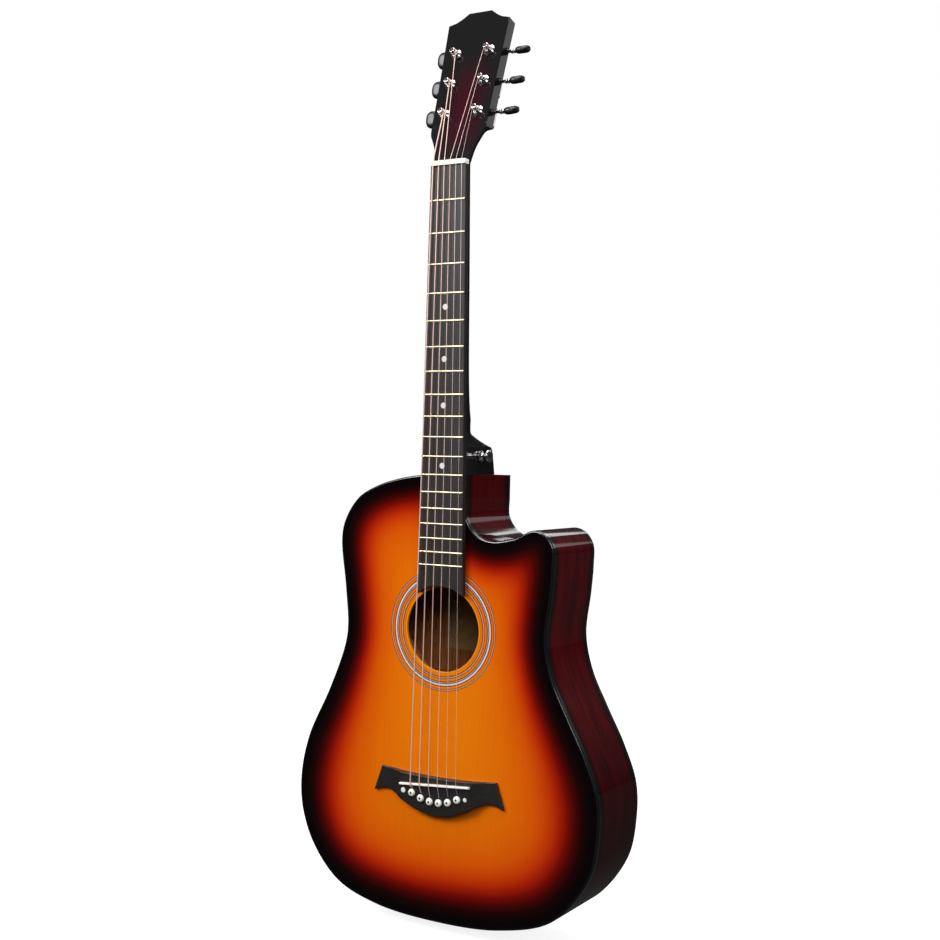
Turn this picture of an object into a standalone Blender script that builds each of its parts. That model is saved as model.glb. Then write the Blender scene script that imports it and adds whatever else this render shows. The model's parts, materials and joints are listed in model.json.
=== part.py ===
"""A 38-inch steel-string acoustic guitar with one cutaway, built from separate pieces.

Metres. +Z runs toward the headstock, the soundboard faces -Y and the treble side is +X.
The origin is on the centre line at the nut's front face, level with the crowns of the frets.
"""

import math

import bmesh
import bpy
import numpy as np
from mathutils import Matrix, Vector

MM = 0.001
GAP = 0.3 * MM  # clearance left between neighbouring pieces

# Scale and neck
SCALE_LENGTH = 643 * MM
FRETS = 18
FRET_HEIGHT = 1.0 * MM
FRET_WIDTH = 2.0 * MM
NUT_HALF_WIDTH = 21.2 * MM
LAST_FRET_HALF_WIDTH = 27.2 * MM
FINGERBOARD_THICKNESS = 6.5 * MM
NUT_LENGTH = 5.0 * MM
NECK_JOINT_Z = -321.3 * MM

# Body
TOP_Y = 8.3 * MM  # front face of the soundboard
BODY_DEPTH = 94 * MM
BACK_Y = TOP_Y + BODY_DEPTH
BODY_MIDDLE_Y = TOP_Y + BODY_DEPTH / 2
PLATE = 3.0 * MM  # thickness of the soundboard and of the back
BINDING_WIDTH = 2.2 * MM
BINDING_HEIGHT = 6.0 * MM
OUTLINE_SAMPLES = 92
X_BRACE_Z, X_BRACE_END_Z, UPPER_BAR_Z = -561 * MM, -700 * MM, -430 * MM
X_BRACE_ANGLE = math.radians(40)
LADDER_Z = [-425 * MM, -545 * MM, -625 * MM, -705 * MM]
SOUNDHOLE_Z = -483.4 * MM
SOUNDHOLE_RADIUS = 44.2 * MM
# The outline at the front, from the cutaway's corner at the neck round the tail to the bass shoulder.
CUTAWAY_WALL_X = 25.8 * MM
CUTAWAY = [(25.8, -346), (26.2, -366), (37.5, -381.5), (56, -388), (83, -384), (105.2, -374.8),
           (119, -379), (128, -391.5)]
TREBLE_BOUT = [(128.8, -413), (126.5, -443), (121.9, -486), (130, -522.9), (148.8, -560.7),
               (168.6, -597.7), (182.8, -634.8), (184.3, -672), (175, -716), (135, -765.2), (73, -785.8)]
BASS_BOUT = [(-5, -791), (-78, -785.6), (-128.8, -768.8), (-162.5, -734.6), (-178.8, -697), (-181.6, -660),
             (-172, -615.5), (-144.7, -559.5), (-125.7, -511.6), (-122, -489), (-125.8, -446), (-132.2, -394)]
BASS_SHOULDER = [(-127.8, -373), (-110.7, -348.5), (-87.4, -335.5), (-60, -327), (-31.4, -322.3)]

# Where the linings start and stop, as shares of the outline's points.
TREBLE_LINING, BASS_LINING = (0.13, 0.53), (0.60, 0.93)
LINING_THICKNESS, LINING_HEIGHT, LINING_FOOT = 5.5 * MM, 6 * MM, 14 * MM

# Bridge and strings
BRIDGE_TOP_Y = -0.7 * MM
SADDLE_TOP_Y = -4.2 * MM
SADDLE_BASS, SADDLE_TREBLE = (-42.5 * MM, -648 * MM), (42.5 * MM, -641.6 * MM)
SADDLE_THICKNESS = 2.4 * MM
SADDLE_SLOT_DEPTH = 3.5 * MM  # how far the bottom of its slot stays above the soundboard
# The top of a wing, as (x, y): a small step down from the raised middle, then a slope to the tip.
WING_TOP = [(46, 0.6), (90, 4.4)]
PIN_SPACING = 11.1 * MM
PIN_ARC_Z = [-656, -660.4, -662.5, -662.5, -660.4, -656]
PIN_RADIUS, PIN_HEAD_RADIUS, PIN_LENGTH = 2.5 * MM, 4.0 * MM, 22 * MM
PIN_SLOT = 7 * MM  # how far the string's slot runs from the pin's axis toward the saddle
STRING_AT_NUT_Y = -0.9 * MM
NUT_STRING_SPACING = 7.0 * MM
STRING_RADII = [0.66, 0.53, 0.41, 0.30, 0.20, 0.15]  # millimetres, bass to treble

# Neck and heel
TRUSS_ROD_RADIUS = 3 * MM
TRUSS_ROD_Y = 15.5 * MM
TRUSS_ROD_TOP, TRUSS_ROD_FOOT = -12 * MM, -368.7 * MM
TRUSS_NUT_TOP, TRUSS_NUT_FOOT, TRUSS_NUT_RADIUS = -369 * MM, -382 * MM, 3.7 * MM
HEX_SOCKET_TOP, HEX_SOCKET_RADIUS = -376 * MM, 2.5 * MM
TRUSS_CHANNEL_HALF = 3.5 * MM
NECK_FACE_Y = FRET_HEIGHT + FINGERBOARD_THICKNESS + GAP
# How far back the neck and its heel reach, as (z, y).
NECK_BACK = [(5.3, 22.4), (0, 22.0), (-110, 23.6), (-215, 25.2), (-240, 28), (-256, 32), (-268, 37.5),
             (-276, 44), (-281, 51), (-285, 59), (-288, 67), (-290.5, 75), (-292.5, 81.5), (-300, 84.5),
             (-321, 89)]
HEEL_START_Z, HEEL_FULL_Z = -262 * MM, -290 * MM
HEEL_CAP_HALF_WIDTH = 12.5 * MM
STRAP_BUTTON_Y, STRAP_BUTTON_Z = 53 * MM, -301 * MM
STRAP_BUTTON_X, TAIL_Z = 15.4 * MM, -791.2 * MM
STRAP_BUTTON_PROFILE = [(0, 12.6), (4.6, 12.6), (6.6, 11.8), (6.9, 10.8), (6.3, 9.8), (3.6, 8.2), (3.0, 5.5),
                        (3.6, 3.4), (5.6, 2.0), (6.2, 1.0), (6.2, 0.3), (1.4, 0.3), (1.4, -9), (0, -10)]

# Headstock, in its own frame: x across, v up along the face, w out of the face
HEAD_TILT = math.radians(17.3)
HEAD_ORIGIN = Vector((0, NECK_FACE_Y, NUT_LENGTH + GAP))
HEAD_THICKNESS = 14 * MM
HEAD_SIDE = [(33.8, 40.5), (34.3, 70), (35.2, 100), (37.5, 165.5)]
# Between the neck and the tuners: (height v, half width, squareness of the back).
HEAD_ROOT = [(0, 22.0, 2), (10, 23.6, 2), (17, 25.4, 2), (25, 29, 2), (32, 32.6, 2), (36, 33.5, 2.7),
             (38.5, 33.7, 4.5), (41.5, 33.8, 16)]
HEAD_CROWN = [(28, 168), (21.5, 171.8), (14, 177.5)]
POST_X = 20.5 * MM
POST_V = [56 * MM, 92 * MM, 128 * MM]

# Tuning machines
GEAR_TEETH = 14
WORM_PITCH = 2.6 * MM
GEAR_PITCH_RADIUS = GEAR_TEETH * WORM_PITCH / (2 * math.pi)
WORM_PITCH_RADIUS = 2.6 * MM
ADDENDUM, DEDENDUM = 0.7 * MM, 1.0 * MM
WORM_OFFSET = GEAR_PITCH_RADIUS + WORM_PITCH_RADIUS  # the worm lies this far above its post
WORM_W = -19.5 * MM  # height of the worm's axis, behind the headstock's face
WORM_HALF_LENGTH = 3.3 * MM
GEAR_THICKNESS = 2.6 * MM
POST_RADIUS, POST_TOP_W = 3.0 * MM, 10.5 * MM
KEY_SHAFT_RADIUS = 1.6 * MM
KEY_BEADS = [15.5 * MM, 18.5 * MM, 21.5 * MM]  # turned beads on the shaft, outwards from the post
BUTTON_X = 49 * MM
BUTTON_SIZE = Vector((15, 19, 9)) * MM
# How far each side's buttons are turned about their shafts at rest: bass (-1) and treble (1).
BUTTON_TURN = {-1: math.radians(12), 1: math.radians(-55)}
HOUSING_SIZE = Vector((16.4, 26, 10.5)) * MM
HOUSING_WALL = 1.2 * MM
HOUSING_RISE = 3.5 * MM  # the cover's middle lies this far above its post
BUSHING_PROFILE = [(3.3, 3.0), (4.3, 3.0), (4.5, 1.6), (6.0, 1.2), (6.0, 0.3), (4.6, 0.3), (4.6, -9),
                   (3.3, -9), (3.3, 3.0)]
POST_HOLE_RADIUS = 4.9 * MM  # through the headstock, round the bushing
STRING_HOLE_W, STRING_HOLE_RADIUS = 6.3 * MM, 0.9 * MM

COLOURS = {  # name: (base colour, roughness, metallic)
    "sunburst_spruce": ((0.85, 0.33, 0.03), 0.15, 0),
    "wine_lacquer": ((0.07, 0.008, 0.01), 0.15, 0),
    "black_lacquer": ((0.012, 0.008, 0.01), 0.15, 0),
    "black_binding": ((0.01, 0.01, 0.01), 0.3, 0),
    "inner_wood": ((0.45, 0.25, 0.11), 0.7, 0),
    "fingerboard_wood": ((0.02, 0.013, 0.012), 0.5, 0),
    "white_plastic": ((0.85, 0.83, 0.76), 0.35, 0),
    "chrome": ((0.8, 0.8, 0.82), 0.12, 1),
    "steel": ((0.5, 0.5, 0.52), 0.35, 1),
    "bronze": ((0.75, 0.42, 0.2), 0.3, 1),
    "paper": ((0.75, 0.65, 0.45), 0.9, 0),
}


def clear_scene():
    for obj in list(bpy.data.objects):
        bpy.data.objects.remove(obj, do_unlink=True)


def new_collection(name, hidden=False):
    found = bpy.data.collections.new(name)
    found.hide_render = hidden
    bpy.context.scene.collection.children.link(found)
    return found


clear_scene()
GUITAR = new_collection("acoustic_guitar")
CUTTERS = new_collection("cutters", hidden=True)
HEAD_FRAME = Matrix.Translation(HEAD_ORIGIN) @ Matrix(
    ((1, 0, 0, 0),
     (0, math.sin(HEAD_TILT), -math.cos(HEAD_TILT), 0),
     (0, math.cos(HEAD_TILT), math.sin(HEAD_TILT), 0),
     (0, 0, 0, 1)))


def material(name):
    found = bpy.data.materials.get(name)
    if found is None:
        found = bpy.data.materials.new(name)
        found.use_nodes = True
        colour, roughness, metallic = COLOURS[name]
        shader = found.node_tree.nodes["Principled BSDF"]
        shader.inputs["Base Color"].default_value = (*colour, 1)
        shader.inputs["Roughness"].default_value = roughness
        shader.inputs["Metallic"].default_value = metallic
    return found


def add_object(name, data, finish, frame=None):
    """An object in the guitar's collection or, with no finish, a cutter."""
    obj = bpy.data.objects.new(name, data)
    (GUITAR if finish else CUTTERS).objects.link(obj)
    if finish:
        obj.data.materials.append(material(finish))
    else:
        obj.hide_render = True
        obj.display_type = "WIRE"
    if frame is not None:
        obj.matrix_world = frame
    return obj


def add_bmesh(name, bm, finish, frame=None, sharp=math.radians(35)):
    mesh = bpy.data.meshes.new(name)
    bmesh.ops.recalc_face_normals(bm, faces=bm.faces[:])
    bm.to_mesh(mesh)
    bm.free()
    mesh.shade_smooth()
    mesh.set_sharp_from_angle(angle=sharp)
    return add_object(name, mesh, finish, frame)


def as_mesh(obj, finish):
    """The evaluated object as a plain mesh object of the same name, with coincident points welded."""
    bpy.context.view_layer.update()
    evaluated = obj.evaluated_get(bpy.context.evaluated_depsgraph_get())
    bm = bmesh.new()
    mesh = bpy.data.meshes.new_from_object(evaluated)
    bm.from_mesh(mesh)
    bpy.data.meshes.remove(mesh)
    bmesh.ops.remove_doubles(bm, verts=bm.verts[:], dist=0.001 * MM)
    name, frame = obj.name, obj.matrix_world.copy()
    bpy.data.objects.remove(obj)
    return add_bmesh(name, bm, finish, frame)


def box(name, low, high, finish=None, frame=None, turn=None):
    """A box between two corners; turn is a rotation about its own centre."""
    low, high = Vector(low), Vector(high)
    bm = bmesh.new()
    bmesh.ops.create_cube(bm, size=1)
    bmesh.ops.scale(bm, vec=high - low, verts=bm.verts[:])
    if turn is not None:
        bmesh.ops.transform(bm, matrix=turn, verts=bm.verts[:])
    bmesh.ops.translate(bm, vec=(low + high) / 2, verts=bm.verts[:])
    return add_bmesh(name, bm, finish, frame)


def cylinder(name, start, end, radius, finish=None, segments=16, frame=None):
    start, end = Vector(start), Vector(end)
    bm = bmesh.new()
    bmesh.ops.create_cone(bm, cap_ends=True, segments=segments, radius1=radius, radius2=radius,
                          depth=(end - start).length)
    turn = Vector((0, 0, 1)).rotation_difference(end - start).to_matrix().to_4x4()
    bmesh.ops.transform(bm, matrix=Matrix.Translation((start + end) / 2) @ turn, verts=bm.verts[:])
    return add_bmesh(name, bm, finish, frame)


def turned(name, profile, start, axis, finish=None, segments=16, frame=None):
    """A solid turned about an axis from (radius, height) pairs in millimetres, highest first."""
    mesh = bpy.data.meshes.new(name)
    points = [(radius * MM, 0, height * MM) for radius, height in profile]
    mesh.from_pydata(points, [(i, i + 1) for i in range(len(points) - 1)], [])
    turn = Vector((0, 0, 1)).rotation_difference(Vector(axis)).to_matrix().to_4x4()
    place = Matrix.Translation(start) @ turn
    obj = add_object(name, mesh, finish, place if frame is None else frame @ place)
    screw = obj.modifiers.new("Turn", "SCREW")
    screw.steps = screw.render_steps = segments
    screw.use_merge_vertices = True
    screw.merge_threshold = 0.02 * MM
    return as_mesh(obj, finish)


def flat(name, loops, front, back, finish=None, frame=None):
    """Closed outlines of (x, z) points filled and extruded from y = front to y = back.

    In a frame of its own, such as the headstock's, the outline's axes are x and v, and front and
    back are heights w above its face.
    """
    curve = bpy.data.curves.new(name, "CURVE")
    curve.dimensions = "2D"
    curve.fill_mode = "BOTH"
    for loop in loops:
        spline = curve.splines.new("POLY")
        spline.points.add(len(loop) - 1)
        spline.points.foreach_set("co", [value for x, z in loop for value in (x, z, 0, 1)])
        spline.use_cyclic_u = True
    curve.extrude = abs(back - front) / 2
    if frame is None:
        place = Matrix.Translation((0, (front + back) / 2, 0)) @ Matrix.Rotation(math.pi / 2, 4, "X")
    else:
        place = frame @ Matrix.Translation((0, 0, (front + back) / 2))
    return as_mesh(add_object(name, curve, finish, place), finish)


def loft(name, sections, finish=None, closed=False, frame=None, sharp=math.radians(35)):
    """A skin over sections of equally many points: closed on itself, or capped at both ends."""
    bm = bmesh.new()
    rows = [[bm.verts.new(point) for point in section] for section in sections]
    pairs = list(zip(rows, rows[1:]))
    if closed:
        pairs.append((rows[-1], rows[0]))
    for first, second in pairs:
        for i in range(len(first)):
            j = (i + 1) % len(first)
            bm.faces.new((first[i], first[j], second[j], second[i]))
    if not closed:
        bm.faces.new(rows[0])
        bm.faces.new(rows[-1])
    return add_bmesh(name, bm, finish, frame, sharp)


def boolean(obj, other, operation="DIFFERENCE"):
    modifier = obj.modifiers.new(operation.title(), "BOOLEAN")
    modifier.operation = operation
    modifier.object = other
    return obj


def merged(obj, finish, *others):
    """One body out of overlapping ones."""
    for other in others:
        boolean(obj, other, "UNION")
    result = as_mesh(obj, finish)
    for other in others:
        bpy.data.objects.remove(other)
    return result


def fret_z(number):
    return -SCALE_LENGTH * (1 - 2 ** (-number / 12))


def neck_half_width(z):
    return NUT_HALF_WIDTH + (LAST_FRET_HALF_WIDTH - NUT_HALF_WIDTH) * z / fret_z(FRETS)


# ---------------------------------------------------------------- body

def through_points(points, per_span=16):
    """A smooth open curve through the points (centripetal Catmull-Rom)."""
    points = np.asarray(points, float)
    points = np.vstack([2 * points[0] - points[1], points, 2 * points[-1] - points[-2]])
    knots = np.concatenate([[0], np.cumsum(np.linalg.norm(np.diff(points, axis=0), axis=1) ** 0.5)])
    curve = []
    for i in range(1, len(points) - 2):
        t = np.linspace(knots[i], knots[i + 1], per_span, endpoint=False)[:, None]
        a = [((knots[j + 1] - t) * points[j] + (t - knots[j]) * points[j + 1]) / (knots[j + 1] - knots[j])
             for j in (i - 1, i, i + 1)]
        b = [((knots[j + 2] - t) * a[n] + (t - knots[j]) * a[n + 1]) / (knots[j + 2] - knots[j])
             for n, j in enumerate((i - 1, i))]
        curve.append(((knots[i + 1] - t) * b[0] + (t - knots[i]) * b[1]) / (knots[i + 1] - knots[i]))
    return np.vstack(curve + [points[-2:-1]])


def resampled(curve, count):
    """The curve's points spread evenly, but closer where it bends."""
    step = np.diff(curve, axis=0)
    length = np.linalg.norm(step, axis=1)
    turn = np.abs(np.diff(np.unwrap(np.arctan2(step[:, 1], step[:, 0])), append=0))
    turn[-1] = 0
    weight = np.concatenate([[0], np.cumsum(length / length.sum() + 0.5 * turn / turn.sum())])
    at = np.linspace(0, weight[-1], count)
    return np.stack([np.interp(at, weight, curve[:, k]) for k in (0, 1)], axis=1)


def body_outline(count=OUTLINE_SAMPLES):
    """The body's front outline, starting at its square corner beside the neck, clockwise from the front."""
    points = np.array([(CUTAWAY_WALL_X / MM, NECK_JOINT_Z / MM)] + CUTAWAY + TREBLE_BOUT
                      + BASS_BOUT + BASS_SHOULDER + [(-14, NECK_JOINT_Z / MM)]) * MM
    return resampled(through_points(points), count)


def inset(outline, distance):
    """The closed outline moved inwards by a distance, square at its corners."""
    before = outline - np.roll(outline, 1, axis=0)
    after = np.roll(outline, -1, axis=0) - outline
    normals = [np.stack([side[:, 1], -side[:, 0]], axis=1) / np.linalg.norm(side, axis=1)[:, None]
               for side in (before, after)]
    middle = normals[0] + normals[1]
    scale = 2 / (middle ** 2).sum(axis=1)
    return outline + distance * middle * scale[:, None]


OUTLINE = body_outline()


def rim(name, profile, finish, start=0, stop=None):
    """A band along the outline from (inset, y) pairs; start and stop are shares of the outline's points."""
    loops = np.stack([np.insert(inset(OUTLINE, distance), 1, y, axis=1) for distance, y in profile], axis=1)
    if stop is None:
        return loft(name, loops, finish, closed=True)
    return loft(name, loops[int(start * len(loops)):int(stop * len(loops))], finish)


def span_at(z, margin):
    """Where the outline, moved in by a margin, crosses this height: the lowest and highest x."""
    loop = inset(OUTLINE, margin)
    nxt = np.roll(loop, -1, axis=0)
    crossing = (loop[:, 1] - z) * (nxt[:, 1] - z) < 0
    a, b = loop[crossing], nxt[crossing]
    x = a[:, 0] + (z - a[:, 1]) / (b[:, 1] - a[:, 1]) * (b[:, 0] - a[:, 0])
    return x.min(), x.max()


def circle(radius, centre=(0, 0), count=48):
    angles = np.arange(count) * 2 * np.pi / count
    return np.stack([centre[0] + radius * np.cos(angles), centre[1] + radius * np.sin(angles)], axis=1)


def pin_positions():
    return [((i - 2.5) * PIN_SPACING, z * MM) for i, z in enumerate(PIN_ARC_Z)]


def pin_hole_outline(x, z):
    """A round hole with a slot toward the saddle for the string."""
    radius, half_slot = PIN_RADIUS + 1.5 * GAP, 1.0 * MM
    first = math.pi / 2 + math.asin(half_slot / radius)
    angles = np.linspace(first, first + 2 * math.pi - 2 * math.asin(half_slot / radius), 14)
    loop = [(x + radius * math.cos(a), z + radius * math.sin(a)) for a in angles]
    return loop + [(x + half_slot, z + PIN_SLOT), (x - half_slot, z + PIN_SLOT)]


def bridge_outline():
    top = through_points([(-70, -634), (-35, -636.7), (0, -637.6), (35, -636.7), (70, -634)], 4)
    bottom = through_points([(79.5, -661), (71, -657.9), (62, -657), (51, -660.5), (39, -666.8), (20, -674.3),
                             (0, -677), (-20, -674.3), (-39, -666.8), (-51, -660.5), (-62, -657),
                             (-71, -657.9), (-79.5, -661)], 3)
    return np.vstack([top, bottom]) * MM


def build_plates():
    edge = inset(OUTLINE, BINDING_WIDTH + GAP)
    hole = circle(SOUNDHOLE_RADIUS, (0, SOUNDHOLE_Z))
    pin_holes = [pin_hole_outline(x, z) for x, z in pin_positions()]
    flat("soundboard", [edge, hole, *pin_holes], TOP_Y, TOP_Y + PLATE, "sunburst_spruce")
    flat("back_plate", [edge], BACK_Y - PLATE, BACK_Y, "wine_lacquer")
    plate = np.array([(-53, -632), (53, -632), (70, -672), (-70, -672)]) * MM
    front = TOP_Y + PLATE + GAP
    flat("bridge_plate", [plate, *pin_holes], front, front + 2.5 * MM, "inner_wood")
    label = np.array([(-50, -517), (-8.6, -517), (-8.6, -463), (-50, -463)]) * MM
    back = BACK_Y - PLATE - GAP
    flat("label", [label], back - 0.5 * MM, back, "paper")


def build_rims():
    sides_front, sides_back = TOP_Y + BINDING_HEIGHT + GAP, BACK_Y - BINDING_HEIGHT - GAP
    sides = rim("sides", [(0, sides_front), (BINDING_WIDTH, sides_front), (BINDING_WIDTH, sides_back),
                          (0, sides_back)], "wine_lacquer")
    rod_hole = cylinder("truss_rod_hole", (0, TRUSS_ROD_Y, NECK_JOINT_Z + 5 * MM),
                        (0, TRUSS_ROD_Y, NECK_JOINT_Z - 55 * MM), TRUSS_ROD_RADIUS + 2 * GAP)
    boolean(sides, rod_hole)
    pin_hole = cylinder("end_pin_hole", (0, BODY_MIDDLE_Y, -795 * MM), (0, BODY_MIDDLE_Y, -760 * MM), 4 * MM)
    boolean(sides, pin_hole)
    for name, face, inward in (("top_binding", TOP_Y, 1), ("back_binding", BACK_Y, -1)):
        # The outer edge is rounded over about 2 mm.
        edge = [(0, BINDING_HEIGHT), (0, 2 * MM), (0.6 * MM, 0.55 * MM), (2 * MM, 0),
                (BINDING_WIDTH, 0), (BINDING_WIDTH, BINDING_HEIGHT)]
        binding = rim(name, [(distance, face + inward * depth) for distance, depth in edge], "black_binding")
        if face == TOP_Y:
            boolean(binding, rod_hole)
    for name, face, inward in (("top", TOP_Y, 1), ("back", BACK_Y, -1)):
        outer, inner = BINDING_WIDTH + GAP, BINDING_WIDTH + GAP + LINING_THICKNESS
        near = PLATE + GAP
        profile = [(outer, near), (inner, near), (inner, near + LINING_HEIGHT), (outer, near + LINING_FOOT)]
        profile = [(distance, face + inward * depth) for distance, depth in profile]
        rim(f"{name}_lining_treble", profile, "inner_wood", *TREBLE_LINING)
        rim(f"{name}_lining_bass", profile, "inner_wood", *BASS_LINING)
    return rod_hole, pin_hole


def build_blocks(rod_hole, pin_hole):
    front, back = TOP_Y + PLATE + GAP, BACK_Y - PLATE - GAP
    wall = BINDING_WIDTH + GAP
    neck_block = box("neck_block", (-31 * MM, front, -364 * MM),
                     (CUTAWAY_WALL_X - wall - 1 * MM, back, NECK_JOINT_Z - wall - 2.6 * MM), "inner_wood")
    boolean(neck_block, rod_hole)
    tail_block = box("tail_block", (-34 * MM, front, -786 * MM), (30 * MM, back, -770 * MM), "inner_wood")
    boolean(tail_block, pin_hole)


def brace(name, start, end, front, height, width):
    """A bar between two (x, z) points, standing on y = front."""
    start, end = Vector((start[0], 0, start[1])), Vector((end[0], 0, end[1]))
    length = (end - start).length
    bm = bmesh.new()
    bmesh.ops.create_cube(bm, size=1)
    bmesh.ops.scale(bm, vec=(length, abs(height), width), verts=bm.verts[:])
    turn = Matrix.Rotation(-math.atan2(end.z - start.z, end.x - start.x), 4, "Y")
    middle = (start + end) / 2 + Vector((0, front + height / 2, 0))
    bmesh.ops.transform(bm, matrix=Matrix.Translation(middle) @ turn, verts=bm.verts[:])
    return add_bmesh(name, bm, "inner_wood")


def build_braces():
    front = TOP_Y + PLATE + GAP
    margin = 13 * MM
    low, high = span_at(UPPER_BAR_Z, margin)
    bars = [brace("top_braces", (low, UPPER_BAR_Z), (high, UPPER_BAR_Z), front, 13 * MM, 9 * MM)]
    # The X's legs run from the upper bar's ends past the soundhole and cross below it.
    spread = math.tan(X_BRACE_ANGLE)
    for side in (-1, 1):
        start = (side * (UPPER_BAR_Z - X_BRACE_Z) * spread, UPPER_BAR_Z)
        end = (-side * (X_BRACE_Z - X_BRACE_END_Z) * spread, X_BRACE_END_Z)
        bars.append(brace(f"x_leg_{side}", start, end, front, 12 * MM, 7 * MM))
    bars.append(brace("tone_bar", (103 * MM, -683 * MM), (-75 * MM, -742 * MM), front, 9 * MM, 6 * MM))
    merged(bars[0], "inner_wood", *bars[1:])
    back = BACK_Y - PLATE - GAP
    strip = box("back_braces", (-8 * MM, back - 3 * MM, -768 * MM), (8 * MM, back, -366 * MM), "inner_wood")
    ladder = []
    for number, z in enumerate(LADDER_Z):
        low, high = span_at(z, margin)
        ladder.append(brace(f"ladder_{number}", (low, z), (high, z), back, -14 * MM, 8 * MM))
    merged(strip, "inner_wood", *ladder)


# ---------------------------------------------------------------- bridge

def build_bridge():
    front, back = BRIDGE_TOP_Y, TOP_Y - GAP
    bridge = flat("bridge", [bridge_outline()], front, back, "fingerboard_wood")
    above = [(WING_TOP[1][0], -14), (WING_TOP[0][0], -14)]
    for side in (-1, 1):
        ends = [[Vector((side * x, y, z)) * MM for x, y in WING_TOP + above] for z in (-690, -620)]
        boolean(bridge, loft(f"wing_cutter_{side}", ends, None))
    for number, (x, z) in enumerate(pin_positions(), 1):
        boolean(bridge, flat(f"pin_hole_{number}", [pin_hole_outline(x, z)], -5 * MM, 15 * MM))
    low, high = Vector((SADDLE_BASS[0], 0, SADDLE_BASS[1])), Vector((SADDLE_TREBLE[0], 0, SADDLE_TREBLE[1]))
    turn = Matrix.Rotation(-math.atan2(high.z - low.z, high.x - low.x), 4, "Y")
    half = Vector(((high - low).length / 2, 0, SADDLE_THICKNESS / 2))
    middle = (low + high) / 2
    saddle_back = TOP_Y - SADDLE_SLOT_DEPTH
    slot = box("saddle_slot", middle - half - Vector((GAP, 5 * MM, GAP)),
               middle + half + Vector((GAP, saddle_back, GAP)), turn=turn)
    boolean(bridge, slot)
    saddle = box("saddle", middle - half + Vector((0, SADDLE_TOP_Y, 0)),
                 middle + half + Vector((0, saddle_back - GAP, 0)), "white_plastic", turn=turn)
    edges = saddle.modifiers.new("Rounded crown", "BEVEL")
    edges.width, edges.segments, edges.limit_method = 0.8 * MM, 2, "ANGLE"
    head, shank, length = PIN_HEAD_RADIUS / MM, PIN_RADIUS / MM, PIN_LENGTH / MM
    profile = [(0, 2.9), (head * 0.55, 2.6), (head * 0.9, 1.7), (head, 0.8), (head, 0.0), (shank, 0.0),
               (shank * 0.85, -length), (0, -length)]
    for number, (x, z) in enumerate(pin_positions(), 1):
        turned(f"bridge_pin_{number}", profile, (x, BRIDGE_TOP_Y - GAP, z), (0, -1, 0), "white_plastic", 10)


# ---------------------------------------------------------------- neck


def neck_section(z, back_y, levels=9):
    """The neck's outline across its length: a D that turns into the heel's narrow wedge."""
    heel = min(max((HEEL_START_Z - z) / (HEEL_START_Z - HEEL_FULL_Z), 0), 1)
    width = neck_half_width(min(z, 0))
    side = []
    for i in range(levels):
        t = i / (levels - 1)
        depth = math.sin(t * math.pi / 2) * (1 - heel) + t * heel
        round_back = math.cos(t * math.pi / 2) * width
        wedge = HEEL_CAP_HALF_WIDTH + (width - HEEL_CAP_HALF_WIDTH) * (1 - t) ** 2.2
        half = round_back * (1 - heel) + wedge * heel
        side.append((max(half, 1.5 * MM), NECK_FACE_Y + depth * (back_y - NECK_FACE_Y)))
    return [(x, y, z) for x, y in side] + [(-x, y, z) for x, y in reversed(side)]


def head_root_section(v, half_width, squareness, levels=8):
    """Across the headstock's root: flat in front, with a superelliptic back."""
    face, depth = -0.02 * MM, HEAD_THICKNESS + 0.02 * MM
    points = []
    for i in range(2 * levels + 1):
        angle = math.pi * i / (2 * levels)
        across = math.copysign(abs(math.cos(angle)) ** (2 / squareness), math.cos(angle))
        back = max(math.sin(angle), 0) ** (2 / squareness)
        points.append((half_width * across * MM, v * MM, face - depth * back))
    return points


def head_outline():
    side = through_points(HEAD_SIDE, 4)
    crown = through_points(HEAD_CROWN, 3)
    half = np.vstack([side, crown])
    mirrored = half[::-1] * (-1, 1)
    return np.vstack([half, mirrored]) * MM


def build_neck():
    sections = [neck_section(z * MM, y * MM) for z, y in NECK_BACK]
    neck = loft("neck", sections, "black_lacquer")
    head = flat("headstock", [head_outline()], 0, -HEAD_THICKNESS, None, HEAD_FRAME)
    root = loft("head_root", [head_root_section(*section) for section in HEAD_ROOT], None, frame=HEAD_FRAME)
    neck = merged(neck, "black_lacquer", root, head)
    for side in (-1, 1):
        for number, v in enumerate(POST_V, 1):
            boolean(neck, cylinder(f"post_hole_{side}_{number}", (side * POST_X, v, 5 * MM),
                                   (side * POST_X, v, -25 * MM), POST_HOLE_RADIUS, frame=HEAD_FRAME))
    boolean(neck, box("truss_rod_channel", (-TRUSS_CHANNEL_HALF, 5 * MM, -330 * MM),
                      (TRUSS_CHANNEL_HALF, TRUSS_ROD_Y + TRUSS_CHANNEL_HALF, -11 * MM)))
    hole = cylinder("strap_screw_hole", (0, STRAP_BUTTON_Y, STRAP_BUTTON_Z),
                    (30 * MM, STRAP_BUTTON_Y, STRAP_BUTTON_Z), 1.8 * MM, segments=12)
    boolean(neck, hole)
    cylinder("truss_rod", (0, TRUSS_ROD_Y, TRUSS_ROD_TOP), (0, TRUSS_ROD_Y, TRUSS_ROD_FOOT), TRUSS_ROD_RADIUS,
             "steel", 12)
    nut = cylinder("truss_rod_nut", (0, TRUSS_ROD_Y, TRUSS_NUT_TOP), (0, TRUSS_ROD_Y, TRUSS_NUT_FOOT),
                   TRUSS_NUT_RADIUS, "steel", 16)
    boolean(nut, cylinder("hex_socket", (0, TRUSS_ROD_Y, HEX_SOCKET_TOP),
                          (0, TRUSS_ROD_Y, TRUSS_NUT_FOOT - 6 * MM), HEX_SOCKET_RADIUS, segments=6))


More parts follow.
